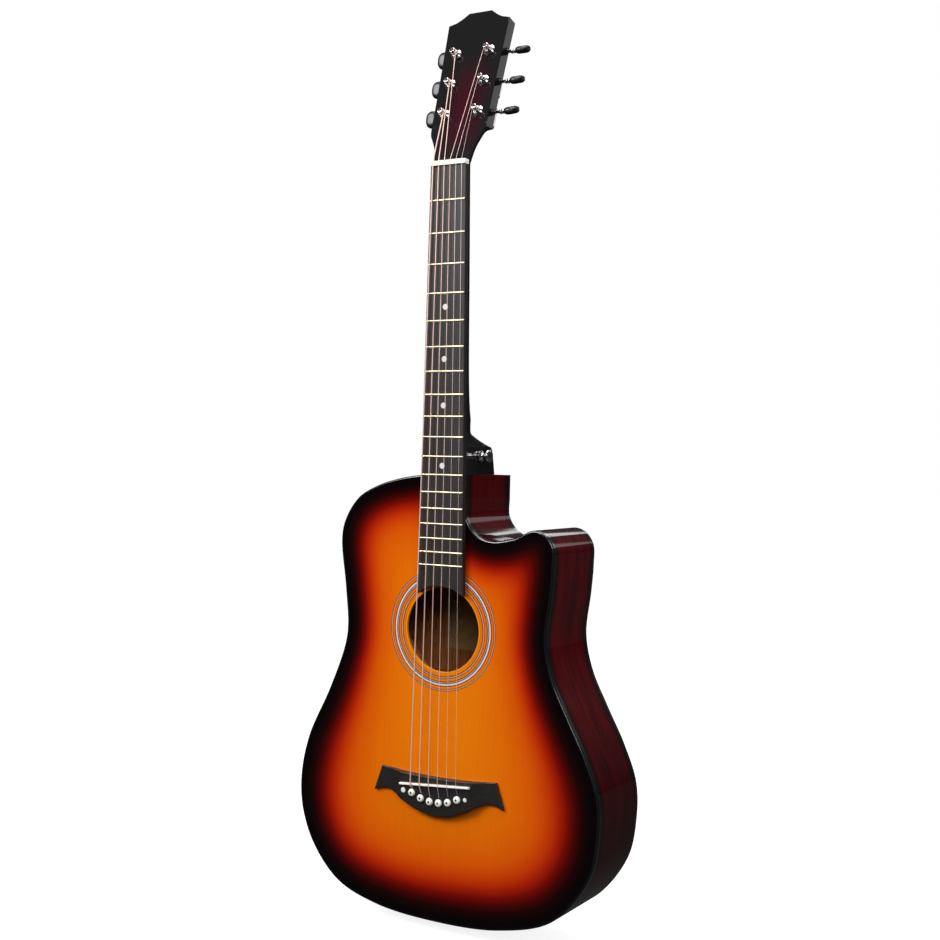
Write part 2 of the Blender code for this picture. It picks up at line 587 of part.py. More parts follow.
def build_fingerboard():
    end_radius = SOUNDHOLE_RADIUS + 2 * MM
    corner = neck_half_width(-446 * MM)
    angle = math.acos(corner / end_radius)
    arc = [(end_radius * math.cos(a), SOUNDHOLE_Z + end_radius * math.sin(a))
           for a in np.linspace(angle, math.pi - angle, 13)]
    outline = [(NUT_HALF_WIDTH, -GAP), *arc, (-NUT_HALF_WIDTH, -GAP)]
    board = flat("fingerboard", [outline], FRET_HEIGHT, FRET_HEIGHT + FINGERBOARD_THICKNESS,
                 "fingerboard_wood")
    frets = []
    for number in range(1, FRETS + 1):
        z = fret_z(number)
        half = neck_half_width(z) - 0.5 * MM
        frets.append(box(f"fret_{number}", (-half, 0, z - FRET_WIDTH / 2),
                         (half, FRET_HEIGHT + 0.8 * MM, z + FRET_WIDTH / 2)))
    merged(board, "fingerboard_wood", *frets)


def string_x(number, z):
    """Where string 0 (bass) to 5 (treble) runs across, at this height."""
    at_nut = (number - 2.5) * NUT_STRING_SPACING
    at_saddle = (number - 2.5) * PIN_SPACING
    return at_nut + (at_saddle - at_nut) * z / SADDLE_BASS[1]


def build_nut():
    nut = box("nut", (-NUT_HALF_WIDTH, -1.4 * MM, 0), (NUT_HALF_WIDTH, NECK_FACE_Y - GAP, NUT_LENGTH),
              "white_plastic")
    for number, radius in enumerate(STRING_RADII):
        x, half = string_x(number, 0), radius * MM + GAP
        cutter = box(f"nut_slot_{number + 1}", (x - half, -3 * MM, -2 * MM),
                     (x + half, STRING_AT_NUT_Y + half, NUT_LENGTH + 2 * MM))
        boolean(nut, cutter)


def build_strap_buttons():
    turned("strap_button_heel", STRAP_BUTTON_PROFILE, (STRAP_BUTTON_X, STRAP_BUTTON_Y, STRAP_BUTTON_Z),
           (1, 0, 0), "chrome", 14)
    turned("strap_button_tail", STRAP_BUTTON_PROFILE, (0, BODY_MIDDLE_Y, TAIL_Z), (0, 0, -1), "chrome", 14)


# ---------------------------------------------------------------- tuning machines

def gear_outline(x, v):
    """A spur gear with a tooth pointing at the worm, straight up the headstock."""
    points = []
    for tooth in range(GEAR_TEETH):
        middle = math.pi / 2 + tooth * 2 * math.pi / GEAR_TEETH
        for offset, radius in ((-0.27, -DEDENDUM), (-0.11, ADDENDUM), (0.11, ADDENDUM), (0.27, -DEDENDUM)):
            angle = middle + offset * 2 * math.pi / GEAR_TEETH
            reach = GEAR_PITCH_RADIUS + radius
            points.append((x + reach * math.cos(angle), v + reach * math.sin(angle)))
    return points


def key_radius(side, along, angle):
    """The key's radius at a distance outwards from its post and an angle about +X, from v toward w."""
    distance = abs(along)
    if distance <= WORM_HALF_LENGTH:
        crest = WORM_PITCH / 2 + WORM_PITCH * (angle - math.pi) / (2 * math.pi)
        turn = (side * along - crest) / WORM_PITCH
        from_crest = abs(turn - round(turn))
        rise = min(max((0.24 - from_crest) / 0.14, 0), 1)
        return WORM_PITCH_RADIUS - DEDENDUM + rise * (ADDENDUM + DEDENDUM)
    if any(abs(along - middle) < 0.1 * MM for middle in KEY_BEADS):
        return 1.7 * KEY_SHAFT_RADIUS
    return KEY_SHAFT_RADIUS


def build_key(name, side, v):
    """The worm, its shaft and its button, in one piece."""
    step = WORM_PITCH / 8
    worm = [i * step for i in range(-10, 11)]
    beads = [middle + offset for middle in KEY_BEADS for offset in (-1.3 * MM, 0, 1.3 * MM)]
    places = [-6 * MM, worm[0] - 0.4 * MM, *worm, worm[-1] + 0.4 * MM, *beads, 26 * MM]
    sections = []
    for along in places:
        ring = []
        for i in range(10):
            angle = i * math.pi / 5
            radius = key_radius(side, along, angle)
            ring.append((side * (POST_X + along), v + WORM_OFFSET + radius * math.cos(angle),
                         WORM_W + radius * math.sin(angle)))
        sections.append(ring)
    key = loft(name, sections, "chrome", frame=HEAD_FRAME)
    bm = bmesh.new()
    bmesh.ops.create_uvsphere(bm, u_segments=12, v_segments=6, radius=0.5)
    bmesh.ops.scale(bm, vec=BUTTON_SIZE, verts=bm.verts[:])
    bmesh.ops.transform(bm, matrix=Matrix.Rotation(BUTTON_TURN[side], 4, "X"), verts=bm.verts[:])
    bmesh.ops.translate(bm, vec=(side * BUTTON_X, v + WORM_OFFSET, WORM_W), verts=bm.verts[:])
    button = add_bmesh(name + "_button", bm, "chrome", HEAD_FRAME)
    return merged(key, "chrome", button)


def build_post(name, x, v):
    low = (WORM_W - GEAR_THICKNESS / 2) / MM - 0.8
    radius, top = POST_RADIUS / MM, POST_TOP_W / MM
    profile = [(0, top), (radius - 0.5, top), (radius, top - 0.5), (radius, 8.6), (2.5, 7.8), (2.5, 4.8),
               (radius, 4.0), (radius, low), (0, low)]
    post = turned(name, profile, (x, v, 0), (0, 0, 1), "chrome", 12, HEAD_FRAME)
    gear = flat(name + "_gear", [gear_outline(x, v)], WORM_W - GEAR_THICKNESS / 2,
                WORM_W + GEAR_THICKNESS / 2, None, HEAD_FRAME)
    post = merged(post, "chrome", gear)
    boolean(post, cylinder(name + "_string_hole", (x, v - 6 * MM, STRING_HOLE_W),
                           (x, v + 6 * MM, STRING_HOLE_W), STRING_HOLE_RADIUS, segments=8,
                           frame=HEAD_FRAME))


def build_housing(name, side, v):
    """A pressed cover over the gear and worm, open toward the headstock."""
    x, middle_v = side * POST_X, v + HOUSING_RISE
    top = -HEAD_THICKNESS - GAP
    half_x, half_v = HOUSING_SIZE.x / 2, HOUSING_SIZE.y / 2
    cover = box(name, (x - half_x, middle_v - half_v, top - HOUSING_SIZE.z),
                (x + half_x, middle_v + half_v, top), "chrome", HEAD_FRAME)
    edges = cover.modifiers.new("Rounded edges", "BEVEL")
    edges.width, edges.segments = 1.0 * MM, 2
    edges.limit_method = "ANGLE"
    half_x, half_v = half_x - HOUSING_WALL, half_v - HOUSING_WALL
    boolean(cover, box(name + "_hollow", (x - half_x, middle_v - half_v, top - HOUSING_SIZE.z + HOUSING_WALL),
                       (x + half_x, middle_v + half_v, top + 5 * MM), frame=HEAD_FRAME))
    boolean(cover, cylinder(name + "_shaft_hole", (x, v + WORM_OFFSET, WORM_W),
                            (x + side * 14 * MM, v + WORM_OFFSET, WORM_W), KEY_SHAFT_RADIUS + GAP,
                            segments=12, frame=HEAD_FRAME))


def build_tuners():
    number = 0
    for side in (-1, 1):
        for v in POST_V if side < 0 else reversed(POST_V):
            number += 1
            turned(f"tuner_bushing_{number}", BUSHING_PROFILE, (side * POST_X, v, 0), (0, 0, 1), "chrome", 12,
                   HEAD_FRAME)
            build_post(f"tuner_post_{number}", side * POST_X, v)
            build_key(f"tuner_key_{number}", side, v)
            build_housing(f"tuner_housing_{number}", side, v)


# ---------------------------------------------------------------- strings

def build_string(number):
    """One string from its bridge pin over the saddle and through the nut to its post."""
    radius = STRING_RADII[number] * MM
    pin_x, pin_z = pin_positions()[number]
    saddle_slope = (SADDLE_TREBLE[1] - SADDLE_BASS[1]) / (SADDLE_TREBLE[0] - SADDLE_BASS[0])
    saddle_z = (SADDLE_BASS[1] + SADDLE_TREBLE[1]) / 2 + saddle_slope * pin_x
    saddle_y = SADDLE_TOP_Y - GAP - radius
    side = -1 if number < 3 else 1
    row = number if number < 3 else 5 - number
    post = Vector((side * POST_X, POST_V[row], STRING_HOLE_W))
    reach = 2.5 * MM + radius + GAP
    nut_back = Vector((string_x(number, 0), STRING_AT_NUT_Y + 0.15 * MM, NUT_LENGTH + 0.5 * MM))
    nut_in_head = HEAD_FRAME.inverted() @ nut_back
    toward = (post - nut_in_head).normalized()
    across = Vector((-side * toward.y, side * toward.x, 0)).normalized()
    arrive = HEAD_FRAME @ (post + across * reach)
    route = [(pin_x, 14.6 * MM, pin_z + 3.7 * MM), (pin_x, 1.6 * MM, pin_z + 3.8 * MM),
             (pin_x, BRIDGE_TOP_Y - radius - GAP / 2, pin_z + PIN_SLOT - 0.8 * MM),
             (pin_x, saddle_y + 0.9 * MM, saddle_z - 2.0 * MM),
             (pin_x, saddle_y, saddle_z - 0.6 * MM), (pin_x, saddle_y, saddle_z + 0.8 * MM),
             (string_x(number, 0), STRING_AT_NUT_Y, 0),
             (string_x(number, 0), STRING_AT_NUT_Y, NUT_LENGTH * 0.7), nut_back, arrive]
    curve = bpy.data.curves.new(f"string_{6 - number}", "CURVE")
    curve.dimensions = "3D"
    curve.bevel_depth = radius
    curve.bevel_resolution = 1
    curve.use_fill_caps = True
    spline = curve.splines.new("POLY")
    spline.points.add(len(route) - 1)
    spline.points.foreach_set("co", [value for point in route for value in (*point, 1)])
    add_object(f"string_{6 - number}", curve, "bronze" if number < 4 else "steel")


def build():
    rod_hole, pin_hole = build_rims()
    build_plates()
    build_blocks(rod_hole, pin_hole)
    build_braces()
    build_bridge()
    build_neck()
    build_fingerboard()
    build_nut()
    build_strap_buttons()
    build_tuners()
    for number in range(6):
        build_string(number)


build()
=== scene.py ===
# %% [markdown]
# # A sunburst acoustic guitar
# This lesson dresses a guitar whose solids already exist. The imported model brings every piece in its
# place, in metres: +Z runs up the neck, the soundboard faces -Y and the treble side is +X. The origin is
# at the nut. Each step below makes one piece or one finish smoother and richer than its plain solid, and
# says which body it moves with.

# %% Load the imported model
import json
import math

import bmesh
import bpy
import numpy as np
from mathutils import Matrix, Vector


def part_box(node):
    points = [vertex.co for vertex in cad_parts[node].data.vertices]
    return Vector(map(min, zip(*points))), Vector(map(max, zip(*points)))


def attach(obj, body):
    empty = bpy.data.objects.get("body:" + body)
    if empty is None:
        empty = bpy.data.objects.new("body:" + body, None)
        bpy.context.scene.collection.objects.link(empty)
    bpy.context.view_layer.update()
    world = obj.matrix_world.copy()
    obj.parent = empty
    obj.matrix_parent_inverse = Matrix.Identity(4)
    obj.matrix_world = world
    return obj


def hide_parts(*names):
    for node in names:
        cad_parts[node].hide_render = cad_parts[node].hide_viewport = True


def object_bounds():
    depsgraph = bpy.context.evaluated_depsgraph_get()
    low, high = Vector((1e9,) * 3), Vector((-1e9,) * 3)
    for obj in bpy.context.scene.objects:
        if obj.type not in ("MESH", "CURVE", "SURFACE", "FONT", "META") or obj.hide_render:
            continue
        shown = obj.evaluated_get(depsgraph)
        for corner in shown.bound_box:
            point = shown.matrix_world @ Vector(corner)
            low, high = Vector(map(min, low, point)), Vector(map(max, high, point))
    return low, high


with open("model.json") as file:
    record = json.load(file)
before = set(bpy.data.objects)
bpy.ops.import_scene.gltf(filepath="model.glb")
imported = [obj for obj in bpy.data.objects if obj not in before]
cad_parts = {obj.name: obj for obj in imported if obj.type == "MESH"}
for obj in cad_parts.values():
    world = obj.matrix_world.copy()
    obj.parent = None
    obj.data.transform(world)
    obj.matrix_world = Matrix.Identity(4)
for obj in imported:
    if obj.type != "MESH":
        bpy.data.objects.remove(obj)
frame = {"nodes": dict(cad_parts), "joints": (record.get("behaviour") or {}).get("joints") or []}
CAD_BOX = [list(corner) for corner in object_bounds()]
JOINTS = {joint["name"]: joint for joint in frame["joints"]}
MM = 0.001
print("solids:", len(frame["nodes"]), "joints:", len(JOINTS))

# %% [markdown]
# The camera stands a little to the treble side of the guitar at about the height of the twelfth fret.
# It is given by its place and by the two directions that make the picture's right and up.

# %% Camera
CAMERA_AT = Vector((0.76832, -1.22848, -0.29690))
CAMERA_RIGHT = Vector((0.8582, 0.5129, 0.0206)).normalized()
CAMERA_UP = Vector((-0.02437, 0.000587, 0.99970)).normalized()

camera = bpy.data.objects.new("camera", bpy.data.cameras.new("camera"))
camera.data.lens, camera.data.sensor_width = 53.42, 36
camera.data.clip_start, camera.data.clip_end = 0.05, 50
backward = CAMERA_RIGHT.cross(CAMERA_UP).normalized()
axes = Matrix((CAMERA_RIGHT, backward.cross(CAMERA_RIGHT), backward)).transposed()
camera.matrix_world = Matrix.Translation(CAMERA_AT) @ axes.to_4x4()
bpy.context.scene.collection.objects.link(camera)
bpy.context.scene.camera = camera
print("camera:", tuple(round(value, 3) for value in camera.location))

# %% [markdown]
# Shader maths reads best as a formula. `Wire` wraps a socket, so that `1 - mask * 0.5` adds the Math
# nodes by itself. `Finish` is one material: `node` adds any other node, with its settings first and its
# sockets after, and `put` sends values or wires to the main shader.

# %% Shader helpers
class Wire:
    """A node's output that can be used in a formula."""

    def __init__(self, socket):
        self.socket = socket

    def maths(self, operation, *others, clamp=False):
        tree = self.socket.id_data
        node = tree.nodes.new("ShaderNodeMath")
        node.operation, node.use_clamp = operation, clamp
        for slot, value in zip(node.inputs, (self, *others)):
            plug(slot, value)
        return Wire(node.outputs[0])

    def __add__(self, other):
        return self.maths("ADD", other)

    def __sub__(self, other):
        return self.maths("SUBTRACT", other)

    def __rsub__(self, other):
        return (self * -1).maths("ADD", other)

    def __mul__(self, other):
        return self.maths("MULTIPLY", other)

    def __truediv__(self, other):
        return self.maths("DIVIDE", other)

    def __pow__(self, other):
        return self.maths("POWER", other)

    __radd__, __rmul__ = __add__, __mul__

    def clamped(self):
        return self.maths("ADD", 0, clamp=True)

    def between(self, low, high):
        """0 at low, 1 at high, with a smooth rise."""
        t = ((self - low) / (high - low)).clamped()
        return t * t * (3 - 2 * t)


def plug(slot, value):
    if isinstance(value, Wire):
        slot.id_data.links.new(value.socket, slot)
    else:
        slot.default_value = value


def linear(red, green, blue):
    """A colour as seen on a screen, 0 to 255, as the shader's linear values."""
    def one(value):
        value /= 255
        return value / 12.92 if value <= 0.04045 else ((value + 0.055) / 1.055) ** 2.4
    return (one(red), one(green), one(blue), 1)


class Finish:
    """A material around one Principled shader."""

    def __init__(self, name, **values):
        self.material = bpy.data.materials.new(name)
        self.material.use_nodes = True
        self.tree = self.material.node_tree
        self.shader = self.tree.nodes["Principled BSDF"]
        self.put(**values)

    def put(self, **values):
        for name, value in values.items():
            plug(self.shader.inputs[name.replace("_", " ")], value)
        return self

    def node(self, kind, settings=None, output=0, **inputs):
        node = self.tree.nodes.new("ShaderNode" + kind)
        for name, value in (settings or {}).items():
            setattr(node, name, value)
        for name, value in inputs.items():
            slots = [slot for slot in node.inputs if slot.name == name.replace("_", " ") and slot.enabled]
            plug(slots[0], value)
        return Wire(node.outputs[output])

    def place(self, scale=(1, 1, 1), offset=(0, 0, 0)):
        """Object coordinates, moved and then stretched."""
        where = self.node("TexCoord", output="Object")
        moved = self.node("VectorMath", {"operation": "ADD"}, Vector=where)
        plug(moved.socket.node.inputs[1], [-value for value in offset])
        return self.node("Mapping", Vector=moved, Scale=scale)

    def axis(self, name, where=None):
        return self.node("SeparateXYZ", output=name, Vector=where or self.place())

    def noise(self, scale, stretch=(1, 1, 1), detail=3, rough=0.5):
        return self.node("TexNoise", Vector=self.place(stretch), Scale=scale, Detail=float(detail),
                         Roughness=rough)

    def ramp(self, value, *stops):
        """Colours along a value; each stop is (place, colour)."""
        found = self.node("ValToRGB", Fac=value)
        ramp = found.socket.node.color_ramp
        while len(ramp.elements) < len(stops):
            ramp.elements.new(1)
        for element, (at, colour) in zip(ramp.elements, stops):
            element.position, element.color = at, colour
        return found

    def mix(self, amount, first, second):
        node = self.tree.nodes.new("ShaderNodeMix")
        node.data_type = "RGBA"
        plug(node.inputs[0], amount)
        plug(node.inputs[6], first)
        plug(node.inputs[7], second)
        return Wire(node.outputs[2])

    def shade(self, colour, amount):
        """The colour made lighter or darker by a number."""
        node = self.tree.nodes.new("ShaderNodeVectorMath")
        node.operation = "SCALE"
        plug(node.inputs[0], colour)
        plug(node.inputs["Scale"], amount)
        return Wire(node.outputs[0])

    def bump(self, height, distance, strength=1.0):
        return self.put(Normal=self.node("Bump", Height=height, Distance=distance, Strength=strength))


print("shader helpers are ready")

# %% [markdown]
# The soundboard is the face of the instrument: amber spruce in the middle, sprayed through orange and
# red to black at the edge, under gloss lacquer. The spray follows the outline, so the top's mesh will
# carry a number called `burst`: how far a point lies from the edge. A colour ramp turns it into the
# spray, and stretched noise gives the fine upright grain. The rings round the soundhole are another ramp,
# on the distance from its centre.

# %% Finish of the soundboard
SOUNDHOLE_Z, SOUNDHOLE_RADIUS = -483.4 * MM, 44.2 * MM
BURST_REACH = 120 * MM  # the depth inside the outline where the ramp ends

top_finish = Finish("sunburst_top", Roughness=0.5, Specular_IOR_Level=0.0, Coat_Weight=0.6,
                    Coat_Roughness=0.05)
burst = top_finish.node("Attribute", {"attribute_name": "burst"}, output="Fac")
mottle = top_finish.noise(9, (1, 1, 0.6)) - 0.5
spray = top_finish.ramp(
    burst + mottle * 0.03,
    (0.00, linear(5, 3, 4)), (0.08, linear(8, 3, 4)), (0.15, linear(28, 3, 3)), (0.21, linear(66, 4, 2)),
    (0.27, linear(112, 10, 3)), (0.34, linear(164, 30, 4)), (0.42, linear(196, 58, 4)),
    (0.52, linear(212, 84, 4)), (0.70, linear(222, 104, 4)), (1.00, linear(229, 120, 7)))
grain = top_finish.noise(60, (14, 1, 0.35), detail=4, rough=0.6)
fine_grain = top_finish.noise(190, (9, 1, 0.12), detail=2)
lit = 1 + (grain - 0.5) * 0.16 + (fine_grain - 0.5) * 0.12
wood = top_finish.shade(spray, lit)

where = top_finish.place()
x, z = top_finish.axis("X", where), top_finish.axis("Z", where) - SOUNDHOLE_Z
around = ((x * x + z * z) ** 0.5) / SOUNDHOLE_RADIUS


def ring(first, last):
    """1 between two radii, in shares of the soundhole's radius."""
    soft = 0.006
    return around.between(first - soft, first + soft) * (1 - around.between(last - soft, last + soft))


RINGS = [(1.105, 1.125, (60, 30, 22)), (1.125, 1.15, (196, 160, 142)), (1.15, 1.165, (60, 30, 22)),
         (1.225, 1.245, (38, 26, 24)), (1.245, 1.262, (190, 170, 168)), (1.262, 1.285, (70, 62, 66)),
         (1.285, 1.325, (218, 206, 212)), (1.325, 1.345, (40, 26, 24)),
         (1.405, 1.418, (70, 36, 26)), (1.418, 1.442, (190, 152, 134)), (1.442, 1.456, (70, 36, 26))]
for first, last, colour in RINGS:
    wood = top_finish.mix(ring(first, last), wood, linear(*colour))
lip = 1 - around.between(1.0, 1.035)
wood = top_finish.mix(lip, wood, linear(242, 158, 40))
top_finish.put(Base_Color=wood)
top_finish.bump(grain * 0.5 + ring(1.225, 1.345) * -1.0, 0.00006, 0.5)
print("soundboard finish:", len(top_finish.tree.nodes), "nodes")

# %% [markdown]
# The ribs and back are stained dark wine red, and the spray darkens them to black toward the bindings.
# The same recipe makes both: a figured red-brown base, darkened by how near the front or the back a point
# is. The ribs also get painted shade: their colour is made darker near the tail and wherever they face
# up, as on the horn, in place of the dark reflections there. The neck is black with a little of the wine
# showing through in the middle of the headstock's face.

# %% Finishes of the lacquered wood
BACK_Y, TOP_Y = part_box("back_plate")[1].y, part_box("soundboard")[0].y


def lacquered(name):
    """Dull colour under clear gloss, so that only the lacquer shines."""
    return Finish(name, Roughness=0.5, Specular_IOR_Level=0.0, Coat_Weight=1.0, Coat_Roughness=0.08)


rib_finish = lacquered("wine_lacquer_ribs")
across = rib_finish.axis("Y")
figure = rib_finish.noise(38, (1, 2.4, 0.3), detail=5, rough=0.62)
streak = rib_finish.noise(150, (1, 6, 0.15), detail=2)
red = rib_finish.mix((figure - 0.32) * 2.0, linear(50, 2, 6), linear(92, 6, 11))
# Painted shade: the ribs' colour is made darker toward the tail.
low = rib_finish.axis("Z").between(-690 * MM, -500 * MM)
# Painted shade and painted dark reflection: ribs that face up, as on the horn's ledge, are made darker.
upward_painted_shade = rib_finish.axis("Z", rib_finish.node("TexCoord", output="Normal")).between(0.5, 0.9)
red = rib_finish.shade(red, (0.85 + streak * 0.3) * (0.35 + low * 0.65) * (1 - upward_painted_shade * 0.72))
from_top = across.between(TOP_Y + 4 * MM, TOP_Y + 17 * MM)
near_back = across.between(BACK_Y - 19 * MM, BACK_Y - 4 * MM)
middle = from_top * (1 - near_back)
rib_finish.put(Base_Color=rib_finish.mix(middle, linear(11, 4, 6), red))

back_finish = lacquered("wine_lacquer_back")
near_edge = back_finish.node("Attribute", {"attribute_name": "burst"}, output="Fac")
figure = back_finish.noise(26, (3.2, 1, 0.3), detail=5, rough=0.6)
streak = back_finish.noise(120, (7, 1, 0.12), detail=3)
red = back_finish.mix((figure - 0.3) * 2.2, linear(38, 3, 4), linear(96, 12, 9))
red = back_finish.shade(red, 0.75 + streak * 0.5)
seam = back_finish.axis("X").maths("ABSOLUTE").between(0.9 * MM, 1.3 * MM)
red = back_finish.mix(seam, linear(150, 96, 52), red)
back_finish.put(Base_Color=back_finish.mix(near_edge.between(0.05, 0.34), linear(10, 3, 5), red))

neck_finish = lacquered("black_lacquer")
where = neck_finish.place()
x, z = neck_finish.axis("X", where), neck_finish.axis("Z", where)
fade = 1 - (x - 5 * MM).maths("ABSOLUTE").between(6 * MM, 29 * MM)
fade = fade * z.between(6 * MM, 40 * MM) * (1 - z.between(76 * MM, 132 * MM))
figure = neck_finish.noise(70, (5, 1, 0.3), detail=4)
stain = neck_finish.mix(figure, linear(36, 3, 12), linear(58, 8, 24))
neck_finish.put(Base_Color=neck_finish.mix(fade, linear(20, 19, 20), stain))

binding_finish = Finish("black_binding", Base_Color=linear(12, 10, 11), Roughness=0.2, Coat_Weight=1.0,
                        Coat_Roughness=0.06)
swirl = binding_finish.noise(140)
binding_finish.put(Roughness=0.2 + swirl * 0.06)
print("lacquers: ribs, back, neck and binding")

# %% [markdown]
# Bare wood shows inside the body, dark rosewood on the fingerboard and bridge. Pores are short dark
# dashes along the grain: noise stretched along Z and cut off sharply.

# %% Finishes of the bare woods
def bare_wood(name, dark, light, pore, roughness, stretch=(7, 7, 0.3), gloss=0.0):
    finish = Finish(name, Roughness=roughness, Coat_Weight=gloss, Coat_Roughness=0.25)
    bands = finish.noise(55, stretch, detail=5, rough=0.6)
    pores = finish.noise(420, (stretch[0] * 0.35, stretch[1] * 0.35, stretch[2] * 0.5), detail=1)
    dashes = pores.between(0.60, 0.68)
    colour = finish.mix((bands - 0.3) * 2.2, linear(*dark), linear(*light))
    finish.put(Base_Color=finish.mix(dashes * 0.75, colour, linear(*pore)))
    finish.bump(bands * 0.3 - dashes, 0.00008, 0.6)
    return finish


inner_finish = bare_wood("inner_wood", (142, 78, 32), (198, 122, 56), (90, 44, 18), 0.72)
board_finish = bare_wood("fingerboard_wood", (24, 20, 19), (44, 35, 32), (11, 9, 8), 0.5)
bridge_finish = bare_wood("bridge_wood", (18, 16, 15), (31, 27, 25), (8, 7, 7), 0.45, (0.35, 7, 7), 0.2)
print("bare woods: inner, fingerboard, bridge")

# %% [markdown]
# Metals differ mostly in colour and in how finely they are polished. A little noise in the roughness
# stands for handling marks. The wound strings carry a fine screw pattern round their core.

# %% Finishes of metal, plastic, pearl and paper
def metal(name, colour, roughness, smear=0.05, scale=90, metallic=1.0):
    finish = Finish(name, Base_Color=linear(*colour), Metallic=metallic)
    marks = finish.noise(scale, detail=4)
    finish.put(Roughness=roughness + (marks - 0.4) * smear)
    return finish


chrome_finish = metal("chrome", (232, 230, 232), 0.09)
button_finish = metal("dark_chrome", (72, 72, 74), 0.4)
steel_finish = metal("steel", (150, 150, 154), 0.34, 0.2)
fret_finish = metal("fret_metal", (242, 226, 190), 0.36, 0.08)
plain_string_finish = metal("plain_steel", (236, 226, 220), 0.36, metallic=0.5)
wound_string_finish = metal("bronze_winding", (238, 200, 186), 0.42, metallic=0.35)
turns = wound_string_finish.axis("Z") * (2 * math.pi / (0.5 * MM))
wound_string_finish.bump(turns.maths("SINE"), 0.00002, 0.4)

ivory_finish = Finish("ivory_plastic", Roughness=0.3, Coat_Weight=0.3, Coat_Roughness=0.1)
cloud = ivory_finish.noise(120, (1, 1, 1), detail=3)
ivory_finish.put(Base_Color=ivory_finish.mix(cloud, linear(244, 240, 228), linear(254, 251, 243)))

pearl_finish = Finish("pearl_inlay", Roughness=0.18, Coat_Weight=0.6, Coat_Roughness=0.05)
sheen = pearl_finish.noise(500, detail=2)
pearl_finish.put(Base_Color=pearl_finish.mix(sheen, linear(222, 220, 222), linear(252, 250, 246)))

paper_finish = Finish("label_paper", Roughness=0.9)
fibre = paper_finish.noise(260, detail=4)
paper_finish.put(Base_Color=paper_finish.mix(fibre, linear(150, 114, 68), linear(174, 138, 88)))

dark_finish = Finish("pin_dot", Base_Color=linear(16, 14, 14), Roughness=0.3)
speck = dark_finish.noise(300)
dark_finish.put(Roughness=0.25 + speck * 0.1)
print("metals, plastics, pearl and paper")

# %% [markdown]
# Four helpers make nearly every mesh: a smooth line through points, a skin over sections, a flat
# outline with thickness and rounded edges, and a turned shape. `drill` is the plain cylinder that cuts
# every round hole. `piece` finishes an object: it gets its material and its body.

# %% Mesh helpers
def through(points, per_span=16):
    """A smooth open line through the points (centripetal Catmull-Rom)."""
    points = np.asarray(points, float)
    points = np.vstack([2 * points[0] - points[1], points, 2 * points[-1] - points[-2]])
    knots = np.concatenate([[0], np.cumsum(np.linalg.norm(np.diff(points, axis=0), axis=1) ** 0.5)])
    line = []
    for i in range(1, len(points) - 2):
        t = np.linspace(knots[i], knots[i + 1], per_span, endpoint=False)[:, None]
        a = [((knots[j + 1] - t) * points[j] + (t - knots[j]) * points[j + 1]) / (knots[j + 1] - knots[j])
             for j in (i - 1, i, i + 1)]
        b = [((knots[j + 2] - t) * a[n] + (t - knots[j]) * a[n + 1]) / (knots[j + 2] - knots[j])
             for n, j in enumerate((i - 1, i))]
        line.append(((knots[i + 1] - t) * b[0] + (t - knots[i]) * b[1]) / (knots[i + 1] - knots[i]))
    return np.vstack(line + [points[-2:-1]])


def mesh_object(name, bm, place=None, sharp=math.radians(32)):
    """A bmesh as an object at the origin, with its normals outwards and its hard edges kept hard."""
    if place is not None:
        bmesh.ops.transform(bm, matrix=place, verts=bm.verts[:])
    bmesh.ops.remove_doubles(bm, verts=bm.verts[:], dist=0.0005 * MM)
    bmesh.ops.recalc_face_normals(bm, faces=bm.faces[:])
    mesh = bpy.data.meshes.new(name)
    bm.to_mesh(mesh)
    bm.free()
    mesh.shade_smooth()
    mesh.set_sharp_from_angle(angle=sharp)
    obj = bpy.data.objects.new(name, mesh)
    bpy.context.scene.collection.objects.link(obj)
    return obj


def skin(name, sections, closed=False, place=None, sharp=math.radians(32)):
    """A skin over rings of equally many points, closed on itself or capped at both ends."""
    bm = bmesh.new()
    rows = [[bm.verts.new(point) for point in section] for section in sections]
    pairs = list(zip(rows, rows[1:])) + ([(rows[-1], rows[0])] if closed else [])
    for first, second in pairs:
        for i in range(len(first)):
            j = (i + 1) % len(first)
            bm.faces.new((first[i], first[j], second[j], second[i]))
    if not closed:
        bm.faces.new(rows[0])
        bm.faces.new(rows[-1])
    return mesh_object(name, bm, place, sharp)


def applied(obj):
    """The object with its modifiers made part of a plain mesh, at the origin."""
    bpy.context.view_layer.update()
    mesh = bpy.data.meshes.new_from_object(obj.evaluated_get(bpy.context.evaluated_depsgraph_get()))
    bm = bmesh.new()
    bm.from_mesh(mesh)
    name, place = obj.name, obj.matrix_world.copy()
    bpy.data.meshes.remove(mesh)
    bpy.data.objects.remove(obj)
    return mesh_object(name, bm, place)


def slab(name, loops, low, high, place, edge=0.0, steps=3):
    """Closed outlines in a plane, filled between two heights of `place`, with rounded edges."""
    curve = bpy.data.curves.new(name, "CURVE")
    curve.dimensions, curve.fill_mode = "2D", "BOTH"
    for loop in loops:
        spline = curve.splines.new("POLY")
        spline.points.add(len(loop) - 1)
        spline.points.foreach_set("co", [value for a, b in loop for value in (a, b, 0, 1)])
        spline.use_cyclic_u = True
    curve.extrude = (high - low) / 2 - edge
    curve.bevel_depth, curve.bevel_resolution, curve.offset = edge, steps, -edge
    obj = bpy.data.objects.new(name, curve)
    bpy.context.scene.collection.objects.link(obj)
    obj.matrix_world = place @ Matrix.Translation((0, 0, (low + high) / 2))
    return applied(obj)


